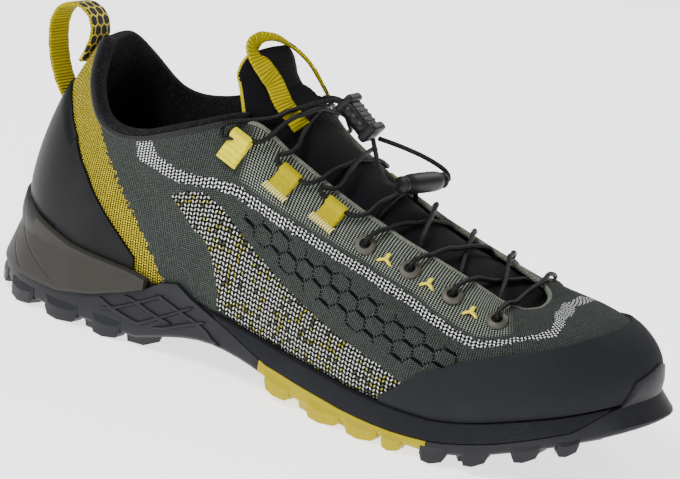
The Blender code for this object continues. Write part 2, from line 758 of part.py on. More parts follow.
def tongue_rows():
    """The tongue's upper face: rows across it from its nose to its top, and its thickness in each."""
    under = -(UPPER_WALL + TONGUE_GAP)
    rows, thickness = [], []
    nose = np.linspace(TOE_RIB - 1.4, TOE_RIB + 1.4, 9)
    rows.append(upper_point(nose, np.full(9, 1 - TONGUE_UNDERLAP), np.full(9, under)))
    thickness.append(TONGUE_THICKNESS)
    v = np.array([1 - TONGUE_UNDERLAP, 1 - TONGUE_UNDERLAP / 2])
    for k in TONGUE_RIBS:
        outer = upper_point(np.full(2, k), v, np.full(2, under))
        inner = upper_point(np.full(2, RIB_COUNT - k), v, np.full(2, under))
        rows.append(np.concatenate([outer, arch_over(k, 5), inner[::-1]]))
        thickness.append(TONGUE_THICKNESS)
    across = np.linspace(-1, 1, 9)
    for end in TONGUE_TOP:
        sag = end.half * across**2
        x = end.x - TONGUE_WRAP * sag
        z = end.z - TONGUE_DROOP * sag
        rows.append(np.stack([x, end.y + end.half * across, z], -1))
        thickness.append(TONGUE_PADDING * end.thick)
    return np.array(rows), np.array(thickness)


def tongue_surface():
    """Points, unit normals and thickness of the tongue's upper face."""
    rows, thickness = tongue_rows()
    along = np.gradient(rows, axis=0)
    across = np.gradient(rows, axis=1)
    normal = np.cross(-along, across)
    normal /= np.linalg.norm(normal, axis=-1, keepdims=True)
    return rows, normal, thickness


def tongue():
    """The padded tongue, from under the toe end of the throat to its free top."""
    rows, normal, thickness = tongue_surface()
    edge = np.array([0.45, 0.8, 1, 1, 1, 1, 1, 0.8, 0.45])
    under = rows - normal * (thickness[:, None] * edge)[..., None]
    return loft([list(top) + list(bottom[::-1]) for top, bottom in zip(rows, under)])


# Materials: colour, roughness and metallic value.
Finish = namedtuple("Finish", "colour roughness metallic")
FINISHES = {
    "black_rubber": Finish((0.030, 0.032, 0.040), 0.75, 0.0),
    "yellow_rubber": Finish((0.700, 0.560, 0.040), 0.55, 0.0),
    "grey_foam": Finish((0.055, 0.057, 0.064), 0.85, 0.0),
    "taupe_plastic": Finish((0.150, 0.138, 0.110), 0.60, 0.0),
    "grey_knit": Finish((0.110, 0.120, 0.095), 0.90, 0.0),
    "black_film": Finish((0.012, 0.012, 0.014), 0.45, 0.0),
    "black_fabric": Finish((0.014, 0.014, 0.016), 0.95, 0.0),
    "yellow_webbing": Finish((0.620, 0.500, 0.060), 0.85, 0.0),
    "dark_metal": Finish((0.045, 0.045, 0.048), 0.35, 1.0),
    "black_plastic": Finish((0.014, 0.014, 0.015), 0.35, 0.0),
    "black_lace": Finish((0.010, 0.010, 0.011), 0.80, 0.0),
}


def finish(obj, name):
    """Give an object a material of its own."""
    look = FINISHES[name]
    material = bpy.data.materials.new(obj.name + "_" + name)
    material.use_nodes = True
    shader = material.node_tree.nodes["Principled BSDF"]
    shader.inputs["Base Color"].default_value = (*look.colour, 1.0)
    shader.inputs["Roughness"].default_value = look.roughness
    shader.inputs["Metallic"].default_value = look.metallic
    obj.data.materials.append(material)
    return obj


# Eyelets, guides and laces.
def mirrored(place):
    """The same place on the inner side of the upper."""
    return Place(RIB_COUNT - place.rib, place.v)


def skin_matrix(place, out):
    """A matrix that stands on the upper: X along the shoe's round, Y up the rib, Z outward."""
    point, up_rib, normal = (Vector(item) for item in upper_frame(place.rib, place.v))
    along = up_rib.cross(normal)
    matrix = Matrix((along, up_rib, normal)).transposed().to_4x4()
    matrix.translation = point + normal * out
    return matrix


def eyelet(name, place, parts):
    """A ring of turned metal that lies on the upper."""
    outer, inner, high = EYELET_RADIUS, EYELET_HOLE, EYELET_HEIGHT
    profile = [(inner, high * 0.8), (outer * 0.75, high), (outer, high * 0.3), (outer, 0), (inner, 0)]
    bm = bmesh.new()
    verts = [bm.verts.new((r, 0, z)) for r, z in profile]
    for first, second in zip(verts, verts[1:] + verts[:1]):
        bm.edges.new((first, second))
    mesh = bpy.data.meshes.new(name)
    bm.to_mesh(mesh)
    bm.free()
    ring = bpy.data.objects.new(name, mesh)
    parts.objects.link(ring)
    turn = ring.modifiers.new("turn", "SCREW")
    turn.axis = "Z"
    turn.steps = turn.render_steps = 9
    turn.use_merge_vertices = True
    turn.merge_threshold = 0.00001
    ring.matrix_world = skin_matrix(place, OVERLAY_GAP)
    return ring


def strap(path, half_width, thickness, side):
    """A flat band along a path: points, with the band's side direction and its thickness."""
    path = [Vector(point) for point in path]
    sections = []
    for i, point in enumerate(path):
        ahead = (path[min(i + 1, len(path) - 1)] - path[max(i - 1, 0)]).normalized()
        lift = side.cross(ahead).normalized() * thickness / 2
        out = side * half_width
        sections.append([point - out - lift, point + out - lift, point + out + lift, point - out + lift])
    return loft(sections)


def guide(name, low, high, parts):
    """A loop of webbing sewn to the upper that the lace runs through."""
    base, top = (skin_matrix(place, OVERLAY_GAP) for place in (low, high))
    reach = (top.translation - base.translation).length
    ahead = (top.translation - base.translation) / reach
    normal = (base.col[2].xyz + top.col[2].xyz).normalized()
    side = ahead.cross(normal).normalized()
    normal = side.cross(ahead)
    bow = LACE_RADIUS + LACE_GAP + WEBBING / 2
    lift = WEBBING / 2
    path = [(0, lift), (reach * 0.35, lift + 0.0003), (reach * 0.7, lift)]
    for step in range(7):
        angle = math.radians(-90 + 42 * step)
        path.append((reach + bow * math.cos(angle), lift + bow + bow * math.sin(angle)))
    path += [(reach * 0.66, lift + WEBBING + 2 * CLEARANCE), (reach * 0.05, lift + WEBBING + CLEARANCE)]
    points = [base.translation + ahead * along + normal * out for along, out in path]
    return new_object(name, strap(points, GUIDE_WIDTH / 2, WEBBING, side), parts)


def smooth_curve(route, count):
    """Points evenly spaced along a smooth curve through the route's points."""
    points = np.array([tuple(point) for point in route], float)
    ends = np.concatenate([[2 * points[0] - points[1]], points, [2 * points[-1] - points[-2]]])
    dense = []
    for i in range(len(points) - 1):
        a, b, c, d = ends[i : i + 4]
        for t in np.linspace(0, 1, 16, endpoint=False):
            dense.append(b + 0.5 * t * (c - a + t * (2 * a - 5 * b + 4 * c - d + t * (3 * (b - c) + d - a))))
    dense = np.array(dense + [points[-1]])
    lengths = np.concatenate([[0], np.cumsum(np.linalg.norm(np.diff(dense, axis=0), axis=1))])
    at = np.linspace(0, lengths[-1], count)
    return np.stack([np.interp(at, lengths, dense[:, axis]) for axis in range(3)], -1)


def cord(name, route, radius, parts):
    """A round cord along a smooth curve through the route."""
    length = sum((Vector(b) - Vector(a)).length for a, b in zip(route, route[1:]))
    count = max(4, round(length / (radius * LACE_SPACING)))
    curve = bpy.data.curves.new(name, "CURVE")
    curve.dimensions = "3D"
    curve.bevel_depth = radius
    curve.bevel_resolution = 1
    curve.use_fill_caps = True
    spline = curve.splines.new("POLY")
    spline.points.add(count - 1)
    for point, place in zip(spline.points, smooth_curve(route, count)):
        point.co = (*place, 1)
    obj = bpy.data.objects.new(name, curve)
    parts.objects.link(obj)
    return obj


def over_tongue(k, across, out):
    """A point over the tongue under the throat: across runs from the outer edge (-1) to the inner (1)."""
    rows, normal, _ = tongue_surface()
    row = 1 + np.interp(k, TONGUE_RIBS[::-1], np.arange(len(TONGUE_RIBS))[::-1])
    i, j = int(row), int(min(4 + 2 * across, 5.99))
    a, b = row - i, 4 + 2 * across - j
    spot, lift = (
        (grid[i, j] * (1 - b) + grid[i, j + 1] * b) * (1 - a)
        + (grid[i + 1, j] * (1 - b) + grid[i + 1, j + 1] * b) * a
        for grid in (rows, normal)
    )
    return spot + lift / np.linalg.norm(lift) * out


LACE_REST = LACE_RADIUS + LACE_GAP
LOOP_CENTRE = OVERLAY_GAP + WEBBING + LACE_REST
GUIDE_REACH = 0.31


def side_start(place, side):
    """First points of a crossing: out of an eyelet, or out of the toe end of a guide, to the throat's edge."""
    def skin(k, v, out):
        return upper_point(k if side < 0 else RIB_COUNT - k, v, out)

    if place in EYELETS:
        over_ring = EYELET_HEIGHT + OVERLAY_GAP + LACE_REST
        route = [skin(place.rib + 0.02, place.v + 0.03, over_ring + 0.0004)]
        route.append(skin(place.rib + 0.10, (place.v + 1) / 2 + 0.02, LACE_REST + 0.0019))
        return route + [skin(place.rib + 0.17, 0.985, LACE_REST + 0.0004)], place.rib + 0.17
    route = [skin(place.rib + GUIDE_REACH + 0.05, place.v, LOOP_CENTRE)]
    k = place.rib + GUIDE_REACH - 0.02
    return route + [skin(k, 0.985, LACE_REST + 0.0004)], k


def crossing(start, end, side, hump):
    """Route of one crossing, from one side of the throat forward to the other.

    side is -1 where it starts on the outer side and 1 on the inner. hump is how far it rises in the
    middle to pass over the lace that crosses it. It ends short of an eyelet's edge, which it would pass
    under, or at the heel end of a guide.
    """
    route, k_start = side_start(start, side)
    to_guide = end not in EYELETS
    k_end = end.rib - (GUIDE_REACH - 0.02 if to_guide else 0.12)
    edge_lift = UPPER_WALL + TONGUE_GAP
    for t in (0.08, 0.20, 0.35, 0.50, 0.65, 0.80) + ((0.92,) if to_guide else (0.88,)):
        fall = max(0.0, 1 - t / 0.35)
        rise = max(0.0, 1 - (1 - t) / 0.35) if to_guide else 0.0
        over = hump * min(1.0, (0.5 - abs(t - 0.5)) / 0.22)
        out = LACE_REST + 0.0003 + over + edge_lift * (fall + rise)
        route.append(over_tongue(k_start + (k_end - k_start) * t, side * (1 - 2 * t), out))
    if to_guide:
        far = RIB_COUNT - end.rib if side < 0 else end.rib
        back = 1 if side < 0 else -1
        route.append(upper_point(far + back * (GUIDE_REACH - 0.02), 0.985, LACE_REST + 0.0004))
        route.append(upper_point(far + back * (GUIDE_REACH + 0.03), end.v, LOOP_CENTRE))
    return route


def laces(parts):
    """The lace on the throat: a bar at the toe and a pair of crossings for each step, up to the lock."""
    made = []
    bar = EYELETS[-1]
    over_ring = EYELET_HEIGHT + OVERLAY_GAP + LACE_REST
    first = [upper_point(bar.rib, bar.v + 0.02, over_ring)]
    first.append(upper_point(bar.rib + 0.25, 0.90, LACE_REST + 0.0012))
    last = [upper_point(RIB_COUNT - bar.rib - 0.25, 0.90, LACE_REST + 0.0012)]
    last.append(upper_point(RIB_COUNT - bar.rib, bar.v + 0.02, over_ring))
    middle = [over_tongue(bar.rib + 0.62, t, LACE_REST + UPPER_WALL + TONGUE_GAP) for t in (-0.9, 0, 0.9)]
    made.append(cord("lace_bar", first + middle + last, LACE_RADIUS, parts))
    stops = [high for _, high in GUIDES] + EYELETS
    for i, (start, end) in enumerate(zip(stops, stops[1:])):
        for side, label in ((-1, "outer"), (1, "inner")):
            hump = (2 * LACE_RADIUS + LACE_GAP) if (side < 0) == (i % 2 == 0) else 0.0
            route = crossing(start, end, side, hump)
            made.append(cord(f"lace_{label}_{i + 2}", route, LACE_RADIUS, parts))
    top = GUIDES[0][1]
    for side, label in ((-1, "outer"), (1, "inner")):
        rear = top.rib - GUIDE_REACH
        k = (rear, rear - 0.02) if side < 0 else (RIB_COUNT - rear, RIB_COUNT - rear + 0.02)
        route = [upper_point(k[0], top.v, LOOP_CENTRE), upper_point(k[1], 1.0, LOOP_CENTRE)]
        route += [Vector((x, side * y, z)) for x, y, z in LOCK_LEAD]
        made.append(cord(f"lace_{label}_1", route, LACE_RADIUS, parts))
    return made


def cord_lock(parts):
    """The block that clamps the lace: a body with a spring button at its upper end."""
    bpy.ops.mesh.primitive_cube_add(size=1)
    lock = bpy.context.object
    lock.name = "cord_lock"
    lock.data.transform(Matrix.Diagonal((*LOCK_SIZE, 1)))
    bevel = lock.modifiers.new("bevel", "BEVEL")
    bevel.width = LOCK_SIZE.z * 0.22
    bevel.segments = 2
    lock.location = LOCK_PLACE
    lock.rotation_euler.y = math.radians(LOCK_PITCH)
    move_to(lock, parts)
    return lock


def cord_grip(parts):
    """The capsule that joins the lace's ends, lying across the laces."""
    bpy.ops.mesh.primitive_cylinder_add(vertices=12, radius=GRIP_RADIUS, depth=GRIP_LENGTH)
    grip = bpy.context.object
    grip.name = "cord_grip"
    bevel = grip.modifiers.new("bevel", "BEVEL")
    bevel.width = GRIP_RADIUS * 0.3
    bevel.segments = 1
    bevel.limit_method = "ANGLE"
    bevel.angle_limit = math.radians(60)
    grip.location = GRIP_PLACE
    grip.rotation_euler = (math.radians(GRIP_TILT), 0, math.radians(GRIP_YAW))
    move_to(grip, parts)
    return grip


def move_to(obj, collection):
    """Put an object in one collection only."""
    for owner in list(obj.users_collection):
        owner.objects.unlink(obj)
    collection.objects.link(obj)


def heel_loop(parts):
    """The pull loop of webbing at the heel."""
    side = Vector((0, 1, 0))
    return new_object("heel_loop", strap(HEEL_LOOP_PATH, LOOP_WIDTH / 2, LOOP_THICKNESS, side), parts)


def tongue_loop(parts):
    """The pull loop of webbing on the tongue."""
    rows, normal, _ = tongue_surface()
    lift = WEBBING / 2 + OVERLAY_GAP
    path = [rows[i, 4] + normal[i, 4] * lift for i in (-3, -2)]
    top, out = rows[-1, 4], normal[-1, 4]
    ahead = np.cross(out, (0, 1, 0))
    ahead *= np.sign(ahead[2]) / np.linalg.norm(ahead)
    path += [top + ahead * along + out * away for along, away in TONGUE_LOOP_BOW]
    side = Vector((0, 1, 0))
    return new_object("tongue_loop", strap(path, TONGUE_LOOP_WIDTH / 2, WEBBING, side), parts)


def clear_scene():
    """Remove what the scene holds."""
    for obj in list(bpy.data.objects):
        bpy.data.objects.remove(obj)


def build():
    """Make every part of the shoe."""
    clear_scene()
    parts = bpy.data.collections.new("approach_shoe")
    tools = bpy.data.collections.new("lug_tools")
    for collection in (parts, tools):
        bpy.context.scene.collection.children.link(collection)

    finish(outsole_part("outsole_heel", -0.05, ARCH_START, HEEL_LUGS, parts, tools), "black_rubber")
    gap = CLEARANCE / SHOE_LENGTH
    arch = outsole_part("outsole_arch", ARCH_START + gap, ARCH_END - gap, ARCH_LUGS, parts, tools)
    finish(arch, "yellow_rubber")
    finish(outsole_part("outsole_forefoot", ARCH_END, 1.05, FOREFOOT_LUGS, parts, tools), "black_rubber")
    finish(new_object("midsole", midsole(), parts), "grey_foam")
    finish(new_object("heel_cup", heel_cup(), parts), "taupe_plastic")
    finish(new_object("insole", insole(), parts), "black_fabric")

    upper = new_object("upper", upper_face(), parts, outward_known=True)
    wall = upper.modifiers.new("wall", "SOLIDIFY")
    wall.thickness = UPPER_WALL
    wall.offset = -1
    wall.use_even_offset = True
    finish(upper, "grey_knit")
    finish(new_object("toe_rand", toe_rand(), parts), "black_rubber")
    finish(new_object("heel_counter", heel_counter(), parts), "black_film")
    finish(new_object("collar_lining", collar_lining(), parts), "black_fabric")
    finish(new_object("tongue", tongue(), parts), "black_fabric")

    for i, place in enumerate(EYELETS):
        finish(eyelet(f"eyelet_outer_{i + 1}", place, parts), "dark_metal")
        finish(eyelet(f"eyelet_inner_{i + 1}", mirrored(place), parts), "dark_metal")
    for i, (low, high) in enumerate(GUIDES):
        finish(guide(f"guide_outer_{i + 1}", low, high, parts), "yellow_webbing")
        finish(guide(f"guide_inner_{i + 1}", mirrored(low), mirrored(high), parts), "yellow_webbing")
    for lace in laces(parts):
        finish(lace, "black_lace")
    finish(cord_lock(parts), "black_plastic")
    finish(cord_grip(parts), "black_plastic")
    finish(cord("lace_tail_outer", OUTER_TAIL, LACE_RADIUS, parts), "black_lace")
    finish(cord("lace_tail_inner", INNER_TAIL, LACE_RADIUS, parts), "black_lace")
    finish(heel_loop(parts), "yellow_webbing")
    finish(tongue_loop(parts), "yellow_webbing")


build()
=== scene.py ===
"""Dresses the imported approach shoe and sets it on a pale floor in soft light.

The shoe's shape is repeated from its own sizes, in metres: +X points to the toe, -Y to the outer side
and +Z up. k is a place round the shoe (0 at the heel, 16 at the toe, 32 at the heel again) and v a place
on the upper's wall, from the midsole (0) to the top edge (1).
"""

import logging
import math
from dataclasses import dataclass
from enum import Enum
from functools import cached_property
from typing import Callable, Iterable, NamedTuple, Sequence, Union

import bmesh
import bpy
import numpy as np
from mathutils import Matrix, Vector


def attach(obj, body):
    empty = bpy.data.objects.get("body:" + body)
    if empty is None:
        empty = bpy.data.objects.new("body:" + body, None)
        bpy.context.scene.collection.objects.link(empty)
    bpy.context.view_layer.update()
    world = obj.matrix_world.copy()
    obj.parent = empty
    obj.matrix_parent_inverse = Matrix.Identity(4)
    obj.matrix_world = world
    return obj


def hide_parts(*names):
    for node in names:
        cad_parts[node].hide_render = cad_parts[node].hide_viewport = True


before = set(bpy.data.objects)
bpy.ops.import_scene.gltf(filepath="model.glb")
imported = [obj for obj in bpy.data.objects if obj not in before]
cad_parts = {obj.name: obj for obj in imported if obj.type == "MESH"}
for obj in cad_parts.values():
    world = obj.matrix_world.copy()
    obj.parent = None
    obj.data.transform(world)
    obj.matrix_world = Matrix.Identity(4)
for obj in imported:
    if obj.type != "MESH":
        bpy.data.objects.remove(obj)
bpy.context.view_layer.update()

LOG = logging.getLogger("scene")
MM = 0.001
# Angle in degrees above which an edge of a CAD solid is rounded.
SHARP_ANGLE = 35.0


class Side(Enum):
    """The two sides of the shoe."""

    OUTER = -1
    INNER = 1


class Rib(NamedTuple):
    """One rib of the upper, its values as shares of the shoe's driving sizes."""

    foot_x: float
    foot_y: float
    top_x: float
    top_y: float
    rise: float
    low_out: float
    low_up: float
    high_out: float
    high_up: float
    edge: float
    ledge: float


class Profile(NamedTuple):
    """One row of the sole's side profile."""

    x: float
    arch: float
    spring: float
    outsole: float
    midsole: float


class Place(NamedTuple):
    """A place on the upper: round the shoe and up its wall."""

    k: float
    v: float


RIBS = [
    Rib(0.032, 0.012, 0.090, 0.012, 0.969, 0.060, 0.229, 0.205, -0.349, 1.00, 0.80),
    Rib(0.043, -0.123, 0.103, -0.094, 0.946, 0.054, 0.229, 0.169, -0.337, 0.84, 0.80),
    Rib(0.087, -0.248, 0.127, -0.210, 0.789, 0.048, 0.217, 0.084, -0.265, 0.68, 0.80),
    Rib(0.160, -0.311, 0.173, -0.296, 0.647, 0.042, 0.205, 0.036, -0.205, 0.58, 0.80),
    Rib(0.240, -0.327, 0.240, -0.333, 0.654, 0.036, 0.205, 0.018, -0.205, 0.53, 0.80),
    Rib(0.317, -0.335, 0.310, -0.330, 0.781, 0.036, 0.217, 0.036, -0.241, 0.47, 0.80),
    Rib(0.390, -0.347, 0.392, -0.267, 0.918, 0.030, 0.229, 0.096, -0.265, 0.42, 0.80),
    Rib(0.457, -0.368, 0.453, -0.214, 0.831, 0.030, 0.229, 0.133, -0.181, 0.37, 0.83),
    Rib(0.527, -0.402, 0.527, -0.184, 0.734, 0.036, 0.229, 0.145, -0.145, 0.34, 1.00),
    Rib(0.603, -0.440, 0.603, -0.168, 0.663, 0.042, 0.217, 0.157, -0.108, 0.37, 1.00),
    Rib(0.680, -0.465, 0.677, -0.160, 0.611, 0.048, 0.205, 0.169, -0.078, 0.37, 1.00),
    Rib(0.753, -0.465, 0.740, -0.152, 0.545, 0.048, 0.193, 0.181, -0.048, 0.37, 1.00),
    Rib(0.817, -0.431, 0.773, -0.136, 0.457, 0.048, 0.193, 0.193, -0.012, 0.37, 1.00),
    Rib(0.877, -0.363, 0.792, -0.099, 0.370, 0.048, 0.193, 0.229, 0.024, 0.42, 1.00),
    Rib(0.927, -0.253, 0.802, -0.056, 0.304, 0.042, 0.205, 0.253, 0.060, 0.58, 0.80),
    Rib(0.962, -0.104, 0.807, -0.008, 0.257, 0.036, 0.229, 0.289, 0.090, 0.79, 0.80),
    Rib(0.972, 0.050, 0.808, 0.040, 0.251, 0.036, 0.241, 0.307, 0.102, 0.895, 0.80),
    Rib(0.958, 0.194, 0.806, 0.088, 0.277, 0.036, 0.229, 0.289, 0.096, 0.79, 0.80),
    Rib(0.923, 0.319, 0.800, 0.132, 0.342, 0.042, 0.205, 0.253, 0.072, 0.58, 0.80),
    Rib(0.873, 0.406, 0.788, 0.167, 0.419, 0.048, 0.193, 0.229, 0.042, 0.42, 1.00),
    Rib(0.817, 0.452, 0.770, 0.185, 0.501, 0.048, 0.193, 0.205, 0.000, 0.37, 1.00),
    Rib(0.753, 0.466, 0.737, 0.190, 0.587, 0.048, 0.205, 0.193, -0.036, 0.37, 1.00),
    Rib(0.680, 0.452, 0.677, 0.194, 0.647, 0.042, 0.217, 0.181, -0.078, 0.34, 1.00),
    Rib(0.603, 0.401, 0.603, 0.204, 0.702, 0.030, 0.241, 0.169, -0.120, 0.32, 1.00),
    Rib(0.527, 0.343, 0.527, 0.218, 0.776, 0.018, 0.253, 0.133, -0.181, 0.32, 1.00),
    Rib(0.457, 0.303, 0.453, 0.238, 0.873, 0.018, 0.253, 0.108, -0.241, 0.37, 0.83),
    Rib(0.390, 0.290, 0.393, 0.276, 0.960, 0.024, 0.253, 0.072, -0.289, 0.42, 0.80),
    Rib(0.317, 0.300, 0.317, 0.314, 0.865, 0.036, 0.229, 0.030, -0.265, 0.47, 0.80),
    Rib(0.240, 0.319, 0.240, 0.338, 0.745, 0.042, 0.217, 0.018, -0.229, 0.53, 0.80),
    Rib(0.160, 0.314, 0.173, 0.324, 0.731, 0.048, 0.217, 0.036, -0.241, 0.58, 0.80),
    Rib(0.087, 0.257, 0.123, 0.257, 0.880, 0.054, 0.217, 0.096, -0.301, 0.68, 0.80),
    Rib(0.043, 0.146, 0.100, 0.137, 0.982, 0.054, 0.229, 0.169, -0.349, 0.84, 0.80),
]
PROFILES = [
    Profile(0.000, 1.000, 0.000, 0.476, 0.923),
    Profile(0.040, 0.375, 0.000, 0.810, 0.974),
    Profile(0.093, 0.000, 0.000, 1.000, 1.000),
    Profile(0.200, 0.000, 0.000, 1.000, 0.938),
    Profile(0.293, 0.000, 0.000, 1.000, 0.862),
    Profile(0.333, 0.500, 0.000, 0.781, 0.723),
    Profile(0.393, 1.000, 0.000, 0.590, 0.538),
    Profile(0.467, 0.812, 0.000, 0.657, 0.451),
    Profile(0.520, 0.375, 0.000, 0.810, 0.451),
    Profile(0.573, 0.000, 0.000, 0.886, 0.477),
    Profile(0.633, 0.000, 0.000, 0.705, 0.487),
    Profile(0.713, 0.000, 0.000, 0.629, 0.482),
    Profile(0.753, 0.000, 0.000, 0.705, 0.456),
    Profile(0.800, 0.000, 0.073, 0.762, 0.451),
    Profile(0.853, 0.000, 0.250, 0.714, 0.451),
    Profile(0.907, 0.000, 0.467, 0.667, 0.410),
    Profile(0.960, 0.000, 0.733, 0.619, 0.333),
    Profile(1.000, 0.000, 1.000, 0.381, 0.256),
]

# Upper edges of the bands that climb the side, as (k, height) pairs. The rim's height is 0 at the
# outsole's seam, 1 at the midsole's top edge and 1 more than v above it.
TOE_RAND = [
    (10, 0.06), (10.33, 0.17), (10.67, 0.29), (11.33, 0.41), (12.33, 0.48), (14, 0.51), (16, 0.53),
    (18, 0.52), (19.67, 0.48), (20.67, 0.41), (21.33, 0.29), (21.67, 0.17), (22, 0.06),
]
HEEL_COUNTER = [
    (0, 0.78), (1, 0.79), (1.67, 0.79), (2.33, 0.75), (3, 0.62), (3.67, 0.37), (4.33, 0.13),
]
HEEL_CUP = [
    (0, 0.24), (1.67, 0.18), (2.33, 0.12), (3, 0.06), (4.33, 0.04), (4.67, 0.03),
]
OUTSOLE_RIM = [
    (0, 0.08), (3, 0.1), (3.67, 0.3), (4.33, 0.62), (5, 1.05), (5.33, 1.09), (6, 0.97), (6.67, 0.66),
    (7.33, 0.26), (7.67, 0.1), (12.33, 0.08), (13.67, 0.24), (14.33, 0.8), (15, 1.14), (16, 1.2),
    (17, 1.14), (17.67, 0.8), (18.33, 0.24), (19.67, 0.08), (24.33, 0.1), (24.67, 0.26), (25.33, 0.66),
    (26, 0.97), (26.67, 1.09), (27, 1.05), (27.67, 0.62), (28.33, 0.3), (29, 0.1), (32, 0.08),
]


def catmull(values: np.ndarray, at: np.ndarray, closed: bool) -> np.ndarray:
    """Smooth curve through a table of values.

    Args:
        values: Table, its first axis along the curve.
        at: Places along the curve, in steps of the table.
        closed: Whether the curve runs on from its last value to its first.

    Returns:
        The values at these places.
    """
    count = len(values)
    last = count if closed else count - 1
    at = np.asarray(at, float) % count if closed else np.clip(at, 0, last)
    i = np.minimum(np.floor(at).astype(int), last - 1)
    t = (at - i).reshape(at.shape + (1,) * (values.ndim - 1))
    if closed:
        a, b, c, d = (values[(i + step) % count] for step in (-1, 0, 1, 2))
    else:
        padded = np.concatenate([[2 * values[0] - values[1]], values, [2 * values[-1] - values[-2]]])
        a, b, c, d = (padded[i + step] for step in (0, 1, 2, 3))
    return b + 0.5 * t * (c - a + t * (2 * a - 5 * b + 4 * c - d + t * (3 * (b - c) + d - a)))


def unit(vectors: np.ndarray) -> np.ndarray:
    """The vectors with length one."""
    return vectors / np.maximum(np.linalg.norm(vectors, axis=-1, keepdims=True), 1e-12)


def band_at(band: Sequence[tuple], k: np.ndarray) -> np.ndarray:
    """Height of a band at places round the shoe, as straight lines through its rows."""
    table = np.array(band)
    return np.interp(k, table[:, 0], table[:, 1])


def route(points: Iterable, step: float) -> np.ndarray:
    """Points evenly spaced along a smooth curve.

    Args:
        points: Points that the curve passes through.
        step: Distance from one point of the result to the next.

    Returns:
        The points as an array of shape (count, 3).
    """
    table = np.array([tuple(point) for point in points], float)
    dense = catmull(table, np.linspace(0, len(table) - 1, 24 * len(table)), closed=False)
    lengths = np.concatenate([[0], np.cumsum(np.linalg.norm(np.diff(dense, axis=0), axis=1))])
    at = np.linspace(0, lengths[-1], max(3, round(lengths[-1] / step) + 1))
    return np.stack([np.interp(at, lengths, dense[:, axis]) for axis in range(3)], -1)


